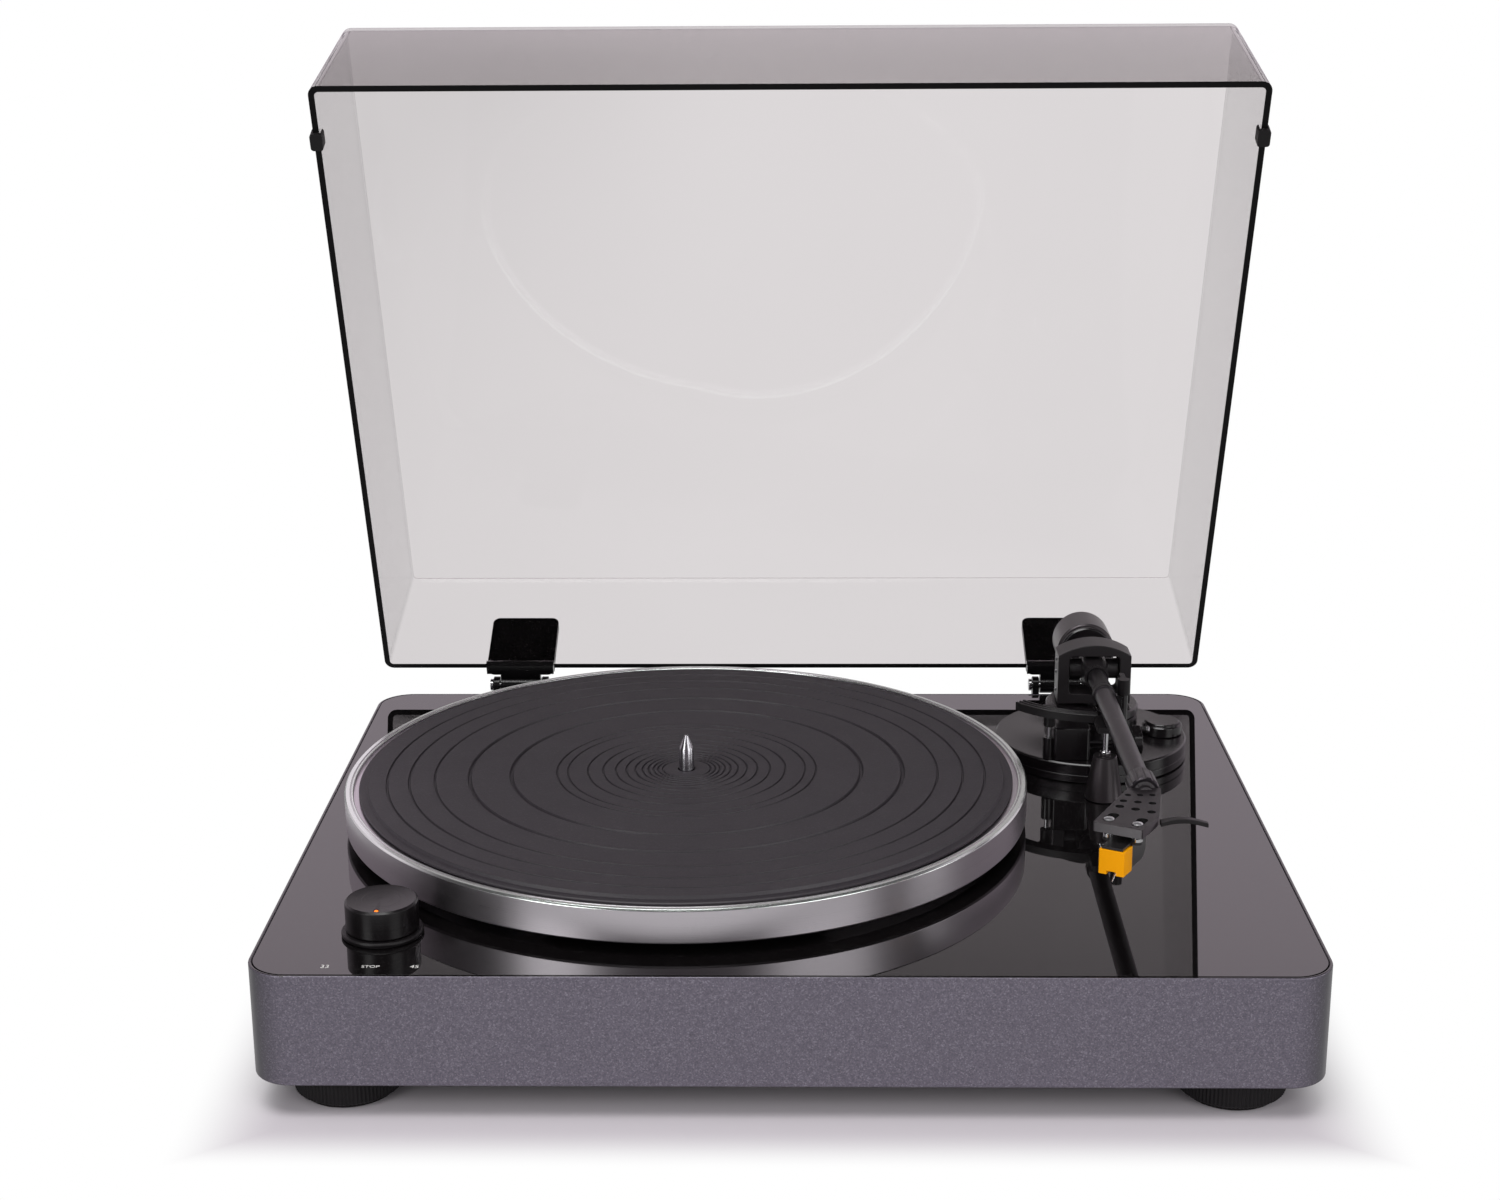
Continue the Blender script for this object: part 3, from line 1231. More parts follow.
bar_under, bar_top = 34.5, 38.5
bar_groove = bar_top - 0.9
socket_drop = 7
bar_section = [
    (48, bar_under), (54, bar_under), (54, bar_top - 0.2), (53.8, bar_top), (53.0, bar_top),
    (52.7, bar_groove), (51.7, bar_groove), (51.4, bar_top), (50.6, bar_top),
    (50.3, bar_groove), (49.3, bar_groove), (49.0, bar_top), (48.2, bar_top), (48, bar_top - 0.2),
]
tie_section = [(45.4, bar_under), (48.5, bar_under), (48.5, bar_groove), (45.4, bar_groove)]
rod_socket = rod(sleeve_radius, bar_under - socket_drop, bar_groove, 48, guide_x, guide_y)
piston_lug = rounded_block(9, 18, bar_under, bar_groove, 1.2, 5, pot_x, -60.5)
bar_blank = fused(swept(bar_section, 219, 266, 48), swept(tie_section, 232.4, 239.6, 6),
                  rod_socket, piston_lug)
bar_rubber = finish("bar_rubber", "110e10", roughness=0.42, grain_size=2400, grain=0.25,
                    marks=0.1, dust=0.03, bump=0.2)
finish_piece("lift_rail", bar_blank, at(arm_place), bar_rubber, "cue_lift", ["lift_bar"],
             0.15, 2)
plunger = rod(1.3, pot_top - 11.7, bar_under - gap, 32, pot_x, pot_y)
finish_piece("lift_plunger", plunger, at(arm_place), polished_steel, "cue_lift", ["lift_piston"],
             0.1, 2)
guide_rod = rod(1.2, guide_foot, bar_under - socket_drop - gap, 32, guide_x, guide_y)
finish_piece("lift_guide", guide_rod, at(arm_place), polished_steel, "cue_lift",
             ["lift_guide_rod"], 0.1, 2)

# %% [markdown]
# Some flat pieces have straight and round edges by turns. Their outline is drawn by carrying one
# point: straight to the next corner, or spun about a centre. Then it is filled and pulled up.


# %% Drawn outlines
def drawn(start, steps, low, high):
    """Steps are (x, y) for a straight edge or (centre x, centre y, degrees, count) for an arc."""
    bm = bmesh.new()
    first = last = bm.verts.new((*start, low))
    for step in steps:
        if len(step) == 2:
            point = bm.verts.new((*step, low))
            bm.edges.new((last, point))
        else:
            x, y, degrees, count = step
            made = bmesh.ops.spin(bm, geom=[last], cent=(x, y, low), axis=(0, 0, 1),
                                  angle=math.radians(degrees), steps=count)
            point = points_in({"geom": made["geom_last"]})[0]
        last = point
    bm.edges.new((last, first))
    bmesh.ops.remove_doubles(bm, verts=bm.verts, dist=0.001)
    face = bmesh.ops.contextual_create(bm, geom=list(bm.edges))["faces"]
    made = bmesh.ops.extrude_face_region(bm, geom=face)
    bmesh.ops.translate(bm, vec=(0, 0, high - low), verts=points_in(made))
    bmesh.ops.recalc_face_normals(bm, faces=bm.faces)
    return bm


def facing(bm, way):
    """Turns a piece drawn flat, so that its outline is seen from the side or from the front."""
    turn = {"side": Matrix(((0, 0, 1), (1, 0, 0), (0, 1, 0))),
            "front": Matrix(((1, 0, 0), (0, 0, -1), (0, 1, 0)))}[way]
    bmesh.ops.transform(bm, matrix=turn.to_4x4(), verts=bm.verts)
    bmesh.ops.recalc_face_normals(bm, faces=bm.faces)
    return bm


trial = drawn((0, 0), [(4, 0), (2, 0, 180, 8)], 0, 1)
print("a trial half round has", len(trial.faces), "faces")
trial.free()

# %% [markdown]
# The cue lever is a cam-shaped lobe on a shaft, with a short bright-tipped handle at its side. It
# turns in the housing and pushes the lift bar up.

# %% Cue lever
lever_lean = math.radians(30)
lever_reach = 8.5
lobe_radius, lobe_nose = 5.6, 2.2
lobe_left, lobe_right = 17.2, 21.2
handle_radius, handle_end = 1.7, 24.2
handle_y = lever_y + lever_reach * math.cos(lever_lean)
handle_z = lever_z + lever_reach * math.sin(lever_lean)


def lobe_outline():
    """Round the shaft, straight to the nose and round it, and straight back."""
    before, after = lever_lean + math.pi / 2, lever_lean - math.pi / 2
    start = (lever_y + lobe_radius * math.cos(before), lever_z + lobe_radius * math.sin(before))
    near = (handle_y + lobe_nose * math.cos(after), handle_z + lobe_nose * math.sin(after))
    return start, [(lever_y, lever_z, 180, 24), near, (handle_y, handle_z, 180, 16)]


lobe = facing(drawn(*lobe_outline(), lobe_left, lobe_right), "side")
shaft = moved(along_x(rod(1.5, -14, 18, 32)), 0, lever_y, lever_z)
grip_rod = moved(along_x(rod(handle_radius, 18, handle_end, 32)), 0, handle_y, handle_z)
finish_piece("cue_cam", fused(lobe, shaft, grip_rod), at(arm_place), arm_black, "cue_lever",
             ["cue_lever"], 0.35)
tip_section = [(0, 24.3), (handle_radius, 24.3), (handle_radius, 25.4), (1.2, 25.9), (0, 26.0)]
tip = moved(along_x(turned(tip_section, 32)), 0, handle_y, handle_z)
finish_piece("cue_tip", tip, at(arm_place), polished_steel, "cue_lever", (),
             0.1, 2)

# %% [markdown]
# The arm rest is a thin post with a shallow saddle under the tube. Its latch turns on the top of
# the post. In the photograph it stands open. The saddle's hollow follows the tube, so the rod
# that cuts it is laid down along Y.


# %% Arm rest and latch
def along_y(bm):
    """Lays a piece that stands on Z down, so that its top points along +Y."""
    bmesh.ops.rotate(bm, cent=(0, 0, 0), matrix=Matrix.Rotation(-math.pi / 2, 3, "X"),
                     verts=bm.verts)
    return bm


rest_x, rest_y = 9.6, -44.6
rest_tilt = math.radians(1.5)
pivot_height = 45
band_radius = 5.5
axis_here = pivot_height - rest_y * math.tan(rest_tilt)
saddle_top = pivot_height - band_radius - gap
saddle_thickness = 2.8
hollow_depth = 1.2
post_radius, post_top = 2.2, 46
pin_rise = 4
saddle = block(-4.7, rest_x, rest_y - 2.5, rest_y + 2.5, saddle_top - saddle_thickness, saddle_top)
hollow = moved(along_y(rod(band_radius + gap, -4, 4, 64)), 0, rest_y,
               saddle_top + band_radius - hollow_depth)
cheek = block(band_radius + 0.4, rest_x - 1.5, rest_y - 1.8, rest_y + 1.8, saddle_top - 1, post_top)
post = rod(post_radius, on_disc, post_top, 48, rest_x, rest_y)
latch_pin = rod(1, post_top - 1, post_top + pin_rise, 24, rest_x, rest_y)
finish_piece("rest_post", fused(cut(saddle, hollow), cheek, post, latch_pin), at(arm_place),
             arm_black, "plinth", ["arm_rest"], 0.2, 2)
latch_under = axis_here + band_radius + gap
latch_top = latch_under + 2
hub = rod(3, post_top + gap, latch_top, 48, rest_x, rest_y)
finger = rounded_block(2.6, 12.6, latch_under, latch_top, 1.2, 6, rest_x, rest_y + 3.3)
latch_bore = rod(1.3, post_top - 1, post_top + pin_rise + gap, 24, rest_x, rest_y)
finish_piece("rest_clip", cut(fused(hub, finger), latch_bore), at(arm_place), satin_black, "latch",
             ["rest_latch"], 0.3)

# %% [markdown]
# The yoke carries the arm. It is a flat frame with an arched top and a window, and turns on a
# shaft in the pedestal. The steel pivots of the arm run in its two sides. Its soft upper edge
# catches the lamp as a grey band.

# %% Gimbal yoke
yoke_half, yoke_depth, yoke_foot = 18.4, 7.7, -16.5
side_top, crown_top = 8.7, 14.3
rise = crown_top - side_top
arch_radius = (yoke_half ** 2 + rise ** 2) / (2 * rise)
arch_middle = crown_top - arch_radius
arch_half = math.degrees(math.asin(yoke_half / arch_radius))
yoke_outline = drawn((-yoke_half, yoke_foot),
                     [(yoke_half, yoke_foot), (yoke_half, side_top),
                      (0, arch_middle, 2 * arch_half, 32)], -yoke_depth, yoke_depth)
yoke_body = facing(yoke_outline, "front")
window_width, window_height, window_y = 25.4, 19.9, -1.55
window = facing(rounded_block(window_width, window_height, -10, 10, 2, 8, 0, window_y), "front")
pivot_hole = along_x(rod(1.6, -16, 16, 32))
swing_shaft = rod(4.5, yoke_foot - 28, yoke_foot + 1, 48)
yoke_blank = cut(fused(yoke_body, swing_shaft), window, pivot_hole)
pivot_place = Vector(joint["arm_tilt"]["pos_m"])
finish_piece("yoke_frame", yoke_blank, at(pivot_place), black_metal, "yoke", ["gimbal_yoke"],
             0.45)

# %% [markdown]
# Three small screws hold the pivot in the yoke's outer side. A screw is a turned head with a slot
# cut across it, made standing on Z. It is turned to look along X and then mirrored to the outer
# side, which turns its faces inside out, so they are flipped back.

# %% Small screws
screw_heights = (5.2, -1.5, -11.2)
head_sink = 0.6


def screw(radius, height, slot_width=0.5):
    """A round-headed screw with a slot, standing on Z from 0."""
    head = turned([(0, 0), (radius, 0), (radius, height * 0.5), (radius * 0.75, height * 0.85),
                   (0, height)], 48)
    return cut(head, block(-radius - 1, radius + 1, -slot_width / 2, slot_width / 2, height * 0.55,
                           height + 1))


def placed(obj, x, y, z, turn=None):
    obj.data.transform(Matrix.Translation((x, y, z)) @ (turn or Matrix.Identity(4)))
    return obj


for number, height in enumerate(screw_heights):
    bolt = placed(screw(1.15, 0.7, 0.35), -yoke_half - head_sink, 0.6, height,
                  Matrix.Rotation(math.pi / 2, 4, "Y"))
    bolt.data.transform(mirror_x @ Matrix.Translation((2 * yoke_half + head_sink, 0, 0)))
    bolt.data.flip_normals()
    finish_piece(f"yoke_screw_{number + 1}", bolt, at(pivot_place), polished_steel, "yoke", (),
                 0)

# %% [markdown]
# The arm is drawn level in its own frame, with its tilt pivots on X and the tube along -Y, and is
# then tilted a little, as it lies on its rest. The sleeve is a block between two bearing cups.
# Its front face is pulled forward and narrowed to a neck, whose knurled ring grips the tube.

# %% Arm sleeve
knurl_share = 0.95
neck_pull = 7
neck_share = 0.87
cup_reach = 12.1
pivot_reach = 15.7


def knurled_ring(radius, low, high, ribs):
    """A disc whose side is drawn in at every second point, for a small knurl."""
    bm = bmesh.new()
    bmesh.ops.create_circle(bm, cap_ends=True, segments=2 * ribs, radius=radius)
    for point in list(bm.verts)[1::2]:
        point.co.xy *= knurl_share
    moved(bm, z=low)
    made = bmesh.ops.extrude_face_region(bm, geom=bm.faces[:])
    bmesh.ops.translate(bm, vec=(0, 0, high - low), verts=points_in(made))
    bmesh.ops.recalc_face_normals(bm, faces=bm.faces)
    return bm


arm_turn = at(pivot_place, Matrix.Rotation(-rest_tilt, 4, "X"))
neck = block(-6.5, 6.5, -8.5, 6.5, -6.4, 6.4)
neck_face = [f for f in neck.faces if f.normal.y < -0.9]
pulled = bmesh.ops.extrude_face_region(neck, geom=neck_face)
bmesh.ops.delete(neck, geom=neck_face, context="FACES_ONLY")
pulled_points = points_in(pulled)
bmesh.ops.translate(neck, vec=(0, -neck_pull, 0), verts=pulled_points)
bmesh.ops.scale(neck, vec=(neck_share, 1, neck_share), verts=pulled_points)
round_edges(neck, [e for e in neck.edges if abs(e.verts[0].co.y - e.verts[1].co.y) > 1], 3.2, 8)
knurled = along_y(knurled_ring(6.1, -17, -14.5, 28))
cups = along_x(rod(5.2, -cup_reach, cup_reach, 48))
pivots = along_x(rod(1.3, -pivot_reach, pivot_reach, 32))
shaft_boss = along_y(rod(5.5, 0, 13, 64))
tube_bore = along_y(rod(5.0, -18, -11, 48))
shaft_bore = along_y(rod(4.3, 5, 14, 48))
sleeve_blank = cut(fused(neck, knurled, cups, pivots, shaft_boss), tube_bore, shaft_bore)
finish_piece("arm_bearing", sleeve_blank, arm_turn, black_metal, "tonearm", ["arm_sleeve"],
             0.4)

# %% [markdown]
# The tube is drawn aluminium with a dark grey satin coat. Where it lies in the rest it carries a
# black band with a raised rim at both ends, and a pointed tongue that runs back along its top.
# The tongue is a thin shell of a slightly wider tube, kept only inside a wedge.

# %% Arm tube
tube_front, tube_back = -184, -11.3
tube_bore_radius, tube_radius = 4.0, 4.7
tongue_start, tongue_end = -41.6, -18.5
tongue_under, tongue_over = 4.75, 5.25
tube_section = [
    (tube_bore_radius, tube_front), (tube_radius, tube_front), (tube_radius, -47.7), (5.2, -47.6),
    (5.2, -41.6), (tube_radius, -41.5), (tube_radius, tube_back), (tube_bore_radius, tube_back),
]
tube_coat = finish("tube_coat", "3e3a3e", roughness=0.34, grain_size=2600, grain=0.15, marks=0.1,
                   dust=0.1, bump=0.1, Metallic=0.85)
finish_piece("tube", along_y(turned(tube_section, 96, closed=True)), arm_turn, tube_coat, "tonearm",
             ["arm_tube"], 0.12, 2)
band_section = [
    (5.21, -47.4), (5.5, -47.4), (5.5, -46.6), (5.35, -46.4), (5.35, -42.8), (5.5, -42.6),
    (5.5, -41.8), (5.21, -41.8),
]
finish_piece("tube_band", along_y(turned(band_section, 96, closed=True)), arm_turn, satin_black,
             "tonearm", (), 0)
tongue_section = [(tongue_under, tongue_start), (tongue_over, tongue_start),
                  (tongue_over, tongue_end), (tongue_under, tongue_end)]
tongue_shell = along_y(turned(tongue_section, 96, closed=True))
wedge = pulled_up([(-4.4, -41.7), (4.4, -41.7), (0, -18.2)], 0.5, 6)
tongue = shaped(loose(tongue_shell), [wedge], "INTERSECT")
finish_piece("band_tongue", tongue, arm_turn, satin_black, "tonearm", (), 0.12, 2)

# %% [markdown]
# The lock ring holds the headshell on the tube. Its grip has twelve grooves for the fingers,
# which rods set round a circle cut in one go: a single rod is spun round Z, and the spin keeps a
# copy at each step.

# %% Lock ring
ring_front, ring_back = -186.7, -170.7
ring_bore, ring_grip = 5.0, 6.7
finger_grooves = 12


def grooves_round(radius, groove, low, high, count):
    """Rods set round a circle, to cut the grooves of a grip."""
    bm = rod(groove, low, high, 16, radius, 0)
    bmesh.ops.spin(bm, geom=bm.verts[:] + bm.edges[:] + bm.faces[:], cent=(0, 0, 0), axis=(0, 0, 1),
                   angle=math.tau * (count - 1) / count, steps=count - 1, use_duplicate=True)
    return bm


grip_section = [
    (ring_bore, ring_front), (6.1, ring_front), (ring_grip, ring_front + 0.8),
    (ring_grip, ring_back - 2.2), (5.6, ring_back), (ring_bore, ring_back),
]
grip_tools = grooves_round(7.3, 1.05, ring_front - 1, ring_back + 1, finger_grooves)
grip_blank = cut(turned(grip_section, 96, closed=True), grip_tools)
lay_along_y = Matrix.Rotation(-math.pi / 2, 4, "X")
grip_blank.data.transform(lay_along_y)
finish_piece("ring_grip", grip_blank, arm_turn, tube_coat, "lock_ring", ["lock_ring"],
             0.12, 2)

# %% [markdown]
# The headshell is a flat plate turned in towards the record, with nine lightening holes and two
# slots for the cartridge screws. Its back edge is as slanted as the tube, and its front edge is
# square to its own line. It is drawn in its own frame, whose Y lies along that line.

# %% Headshell
shell_start = 187
shell_turn = math.radians(29)
shell_frame = (arm_turn @ Matrix.Translation((0, -shell_start, 0))
               @ Matrix.Rotation(-shell_turn, 4, "Z"))
shell_top, shell_under = 2.3, -1.7
shell_length, shell_line, shell_half = 50.3, 7.3, 10.9
back_half, back_y = 7.1, -0.5
finger_y = -31.2
back_x, back_rise = back_half * math.cos(shell_turn), back_half * math.sin(shell_turn)
shell_outline = [
    (back_x, back_rise + back_y), (-back_x, -back_rise + back_y),
    (shell_line - shell_half, -shell_length), (shell_line + shell_half, -shell_length),
    (shell_line + shell_half, finger_y),
]
plate_bm = pulled_up(shell_outline, shell_under, shell_top)
round_edges(plate_bm, uprights(plate_bm), 0.7, 4)
print("headshell turned in by", round(math.degrees(shell_turn)), "degrees")

# %% [markdown]
# The nine holes lie in three rows of three that grow and fan out towards the front, while each
# row turns a little less than the one before. The slots let the cartridge slide to its place. A
# plug behind the plate goes into the tube, with a collar against the lock ring.

# %% Headshell holes and plug
slot_width, slot_length, slot_y = 4.6, 10.6, -41.6
screw_spacing = 12.7
screw_y = -43.9
shell_tools = []
for row in range(3):
    turn = shell_turn * (1 - row / 2)
    spread = 5.2 + 0.95 * row
    hole_radius = 1.4 + 0.25 * row
    for column in (-1, 0, 1):
        hole_x = 1.6 + 2.35 * row + column * spread * math.cos(turn)
        hole_y = -10 - 8.75 * row + column * spread * math.sin(turn)
        shell_tools.append(rod(hole_radius, shell_under - 1, shell_top + 1, 32, hole_x, hole_y))
screw_xs = (shell_line - screw_spacing / 2, shell_line + screw_spacing / 2)
for x in screw_xs:
    shell_tools.append(rounded_block(slot_width, slot_length, shell_under - 1, shell_top + 1, 2.25,
                                     8, x, slot_y))


def back_to_bmesh(obj):
    """Takes a joined solid back, so that it can be joined to the next."""
    bm = bmesh.new()
    bm.from_mesh(obj.data)
    bpy.data.objects.remove(obj)
    return bm


plug = fused(along_y(rod(3.4, -3, 6.9, 48)), along_y(rod(4.9, 0.1, 2.8, 48)))
plug.data.transform(Matrix.Rotation(shell_turn, 4, "Z"))
solid_shell = fused(plate_bm, back_to_bmesh(plug))
print("headshell with", len(shell_tools), "holes and slots to cut")

# %% [markdown]
# The coat of the plate is dark metal, and its holes look darker still, as no light gets into
# them. The faces that the cuts add are found by where they lie: upright, away from every face
# that the plate had before, and not on the plug or the front edge.

# %% Headshell finish
shell_coat = finish("shell_coat", "272326", roughness=0.36, grain_size=2600, grain=0.2, marks=0.1,
                    dust=0.05, bump=0.1, Metallic=0.4)
hole_black = finish("hole_black", "050405", roughness=0.6, grain_size=2500, grain=0.1, marks=0.1,
                    dust=0.0, IOR=1.2)
upright_limit, same_face, front_limit, plug_limit = 0.5, 0.3, -48, 4
outside = [face.center.copy() for face in solid_shell.data.polygons]
shell_blank = cut(solid_shell, *shell_tools)
for face in shell_blank.data.polygons:
    upright = abs(face.normal.z) < upright_limit
    added = upright and min((face.center - spot).length for spot in outside) > same_face
    in_plate = face.center.y > front_limit and abs(face.center.y) > plug_limit
    face.material_index = int(added and in_plate)
finish_piece("shell_plate", shell_blank, shell_frame, [shell_coat, hole_black], "tonearm",
             ["headshell"], 0.25, 2)

# %% [markdown]
# The finger lift leaves the headshell sideways. It is a flat strip, widest at its root, that
# arches and dips at its tip. A subdivided block is bent point by point.

# %% Finger lift
finger_length, finger_half, finger_thickness = 20, 2.2, 1.9
finger_taper, finger_arch, finger_drop = 0.38, 1.5, 0.35
arch_end, arch_limit = 0.94, 1.25
strip = block(0, finger_length, -finger_half, finger_half, -finger_thickness / 2,
              finger_thickness / 2)
long_edges = [e for e in strip.edges if abs(e.verts[0].co.x - e.verts[1].co.x) > 1]
bmesh.ops.subdivide_edges(strip, edges=long_edges, cuts=31, use_grid_fill=True)
for point in strip.verts:
    share = point.co.x / finger_length
    point.co.y *= 1 - finger_taper * share
    arch = finger_arch * math.sin(math.pi * min(share / arch_end, arch_limit))
    point.co.z += arch - finger_drop * share ** 2
bmesh.ops.rotate(strip, cent=(0, 0, 0), matrix=Matrix.Rotation(shell_turn, 3, "Z"),
                 verts=strip.verts)
moved(strip, shell_line + shell_half + gap + finger_half * math.sin(shell_turn),
      finger_y - finger_half, 0.3)
finish_piece("finger_strip", strip, shell_frame, satin_black, "tonearm", ["finger_lift"],
             0.3)

# %% [markdown]
# The cartridge hangs under the headshell on two screws. Its body is a black block, rounded low at
# the back, with a roof that reaches over the stylus block and two ears for the screws.

# %% Cartridge
block_front = -56.3
block_length = 9.7
body_top, body_bottom = -5.3, -16.6
body = block(shell_line - 5, shell_line + 5, block_front + block_length + 0.6, block_front + 26.3,
             body_bottom, body_top)
rear_low = [e for e in body.edges if all(v.co.y > -31 and v.co.z < -16 for v in e.verts)]
round_edges(body, rear_low, 5.5, 8)
roof = block(shell_line - 4.6, shell_line + 4.6, block_front + 0.5, block_front + 20, body_top - 1,
             body_top)
ears = rounded_block(17.4, 5.2, body_top - 1, body_top, 2.5, 8, shell_line, screw_y)
cartridge_black = finish("cartridge_black", "1b191a", roughness=0.34, grain_size=2600, grain=0.15,
                         marks=0.1, dust=0.1, bump=0.1)
finish_piece("pickup_body", fused(body, roof, ears), shell_frame, cartridge_black, "tonearm",
             ["cartridge"], 0.3)

# %% [markdown]
# The stylus block is orange-yellow plastic with a notch below. From the notch the thin cantilever
# reaches forwards and down to the record. It is turned standing on Z and then aimed from its root
# to its end.

# %% Stylus block
half = 5.6
stylus_top, stylus_low = -6.6, -17.4
holder = block(shell_line - half, shell_line + half, block_front, block_front + block_length,
               stylus_low, stylus_top)
round_edges(holder, uprights(holder), 0.5, 3)
notch_half, notch_height = 2, 1.6
notch = block(shell_line - notch_half, shell_line + notch_half, block_front - 1,
              block_front + block_length + 1, stylus_low - 1, stylus_low + notch_height)
finish_piece("stylus_holder", cut(holder, notch), shell_frame, amber_plastic, "tonearm",
             ["stylus_block"], 0.25, 2)
root = Vector((shell_line, block_front + block_length - 1.6, stylus_low + 1.9))
end = Vector((shell_line, block_front + 1.6, -21))
needle_length = (end - root).length
needle_section = [(0, 0), (0.45, 0), (0.25, needle_length - 0.3), (0, needle_length)]
needle = turned(needle_section, 24)
aim = (end - root).to_track_quat("Z", "X").to_matrix().to_4x4()
bmesh.ops.transform(needle, matrix=Matrix.Translation(root) @ aim, verts=needle.verts)
finish_piece("cantilever", needle, shell_frame, polished_steel, "tonearm", (), 0)

# %% [markdown]
# Two slotted screws hold the cartridge. Their heads lie in the headshell's slots, and a steel
# spacer under each keeps the ears a little below the plate.

# %% Cartridge screws
screw_steel = finish("screw_steel", "e0e0e2", roughness=0.35, grain_size=1800, grain=0.08,
                     marks=0.1, dust=0.05, Metallic=1.0)
spacer_section = [
    (0, body_top + 0.05), (2.3, body_top + 0.05), (2.3, body_top + 1.5), (1.7, body_top + 1.6),
    (1.7, shell_under - 0.05), (0, shell_under - 0.05),
]
for side, x in zip(("left", "right"), screw_xs):
    head = placed(screw(2.2, 1.1, 0.6), x, screw_y, shell_top - 0.35)
    finish_piece("pickup_screw_" + side, head, shell_frame, screw_steel, "tonearm", (),
                 0.08, 2)
    spacer = moved(turned(spacer_section, 24), x, screw_y)
    finish_piece("pickup_spacer_" + side, spacer, shell_frame, polished_steel, "tonearm", (),
                 0.1, 2)

# %% [markdown]
# Behind the pivot a steel shaft carries the force dial and the counterweight, a turned brass slug
# with a dark satin coat. Its ends are cut back a little, so that the lamp draws a ring on them.

# %% Counterweight
finish_piece("rear_shaft", along_y(rod(4, 5.3, 60, 64)), arm_turn, polished_steel, "tonearm",
             ["weight_shaft"], 0.4)
weight_section = [
    (4.3, 29.5), (9.5, 29.5), (9.9, 30.1), (12.6, 30.1), (13, 29.5), (14.0, 29.5), (14.8, 30.3),
    (14.8, 54.2), (14.0, 55), (10.4, 55), (10, 54.4), (4.3, 54.4),
]
finish_piece("balance_weight", along_y(turned(weight_section, 128, closed=True)), arm_turn,
             weight_metal, "counterweight", ["counterweight"], 0.2, 2)
force_section = [(4.3, 25.3), (13.0, 25.3), (13.8, 26.1), (13.8, 28.7), (4.3, 28.7)]
finish_piece("force_ring", along_y(turned(force_section, 96, closed=True)), arm_turn, arm_black,
             "force_dial", ["force_dial"], 0.15, 2)

# %% [markdown]
# The rear holds a black plate with two gilt sockets for the sound, a knurled screw for the earth
# wire and a round inlet for the power. They are small turned pieces, laid along +Y.

# %% Rear panel
panel_place = Vector((middle("rear_panel").x, panel_high.y, middle("rear_panel").z))
bore_radii = {"phono_jack_left": 4.6, "phono_jack_right": 4.6, "ground_terminal": 2.5,
              "power_inlet": 5.5}
socket_xs = {node: (middle(node).x - panel_place.x) / MM for node in bore_radii}
panel = facing(rounded_block(96, 24, 0, 2, 1.2, 4), "front")
panel_bores = [moved(along_y(rod(radius, -8, 4, 48)), socket_xs[node])
               for node, radius in bore_radii.items()]
finish_piece("socket_plate", cut(panel, *panel_bores), at(panel_place), satin_black, "plinth",
             ["rear_panel"], 0.25, 2)
sleeve_section = [
    (3.1, -7), (4.3, -7), (4.3, gap), (6, gap), (6, 1.1), (4.3, 1.4), (4.3, 8.6), (3.9, 9),
    (3.5, 9), (3.1, 8.6),
]
core_section = [(0, -6), (3.0, -6), (3.0, 8.2), (1.7, 8.2), (1.7, 2), (0, 2)]
for side, core_look in (("left", white_plastic), ("right", satin_black)):
    x = socket_xs["phono_jack_" + side]
    socket = along_y(turned(sleeve_section, 64, closed=True))
    finish_piece("sound_socket_" + side, moved(socket, x), at(panel_place), gilt, "plinth",
                 ["phono_jack_" + side], 0.1, 2)
    core = moved(along_y(turned(core_section, 48)), x)
    finish_piece("socket_core_" + side, core, at(panel_place), core_look, "plinth", (),
                 0.1, 2)

# %% [markdown]
# The earth screw has a knurled head, whose grooves are cut by the same ring of rods as those of
# the lock ring, only finer. The power inlet is a round sleeve with a pin in its middle.

# %% Earth screw and power inlet
knurl = cut(turned([(0, 4.6), (4.6, 4.6), (4.6, 8.9), (4.2, 9.3), (0, 9.3)], 96),
            grooves_round(4.95, 0.55, 3, 11, 24))
knurl.data.transform(lay_along_y)
earth = fused(knurl, along_y(rod(2.2, -7, 5, 32)), along_y(rod(3.6, gap, 1.4, 48)),
              along_y(rod(3.4, 2.2, 3.6, 48)))
earth.data.transform(Matrix.Translation((socket_xs["ground_terminal"], 0, 0)))
finish_piece("earth_screw", earth, at(panel_place), gilt, "plinth", ["ground_terminal"],
             0.1, 2)
inlet_section = [
    (3, -7), (5.2, -7), (5.2, gap), (6.7, gap), (6.7, 1.5), (6.4, 1.8), (3.3, 1.8), (3, 1.5),
]
inlet = moved(along_y(turned(inlet_section, 64, closed=True)), socket_xs["power_inlet"])
finish_piece("power_socket", inlet, at(panel_place), satin_black, "plinth", ["power_inlet"],
             0.1, 2)
inlet_pin = moved(along_y(rod(1, -6, 1.2, 24)), socket_xs["power_inlet"])
finish_piece("power_pin", inlet_pin, at(panel_place), polished_steel, "plinth", (),
             0.2)

# %% [markdown]
# The pieces inside the plinth keep their CAD meshes. Each gets the finish of its own metal,
# rubber or board, for the views in which the bottom cover or the platter is off.

# %% Inner pieces
inner_looks = {
    "bottom_cover": satin_black, "control_board": board_green, "bearing_housing": brass,
    "drive_belt": rubber, "motor_pulley": brass, "motor_mount": sheet_steel, "motor": zinc,
    "speed_switch": satin_black,
}
for node, look in inner_looks.items():
    solid = frame["nodes"][node]
    solid.data.materials.clear()
    solid.data.materials.append(look)
print(len(inner_looks), "inner pieces dressed")

# %% [markdown]
# The studio is plain: a pale floor, a white surround and large soft lamps. The floor is paper
# near the turntable, where it keeps the shadow, and turns to plain white further off. What the
# gloss deck and the clear cover show of that white is dimmer than what the camera sees, which a
# Light Path node sorts out.

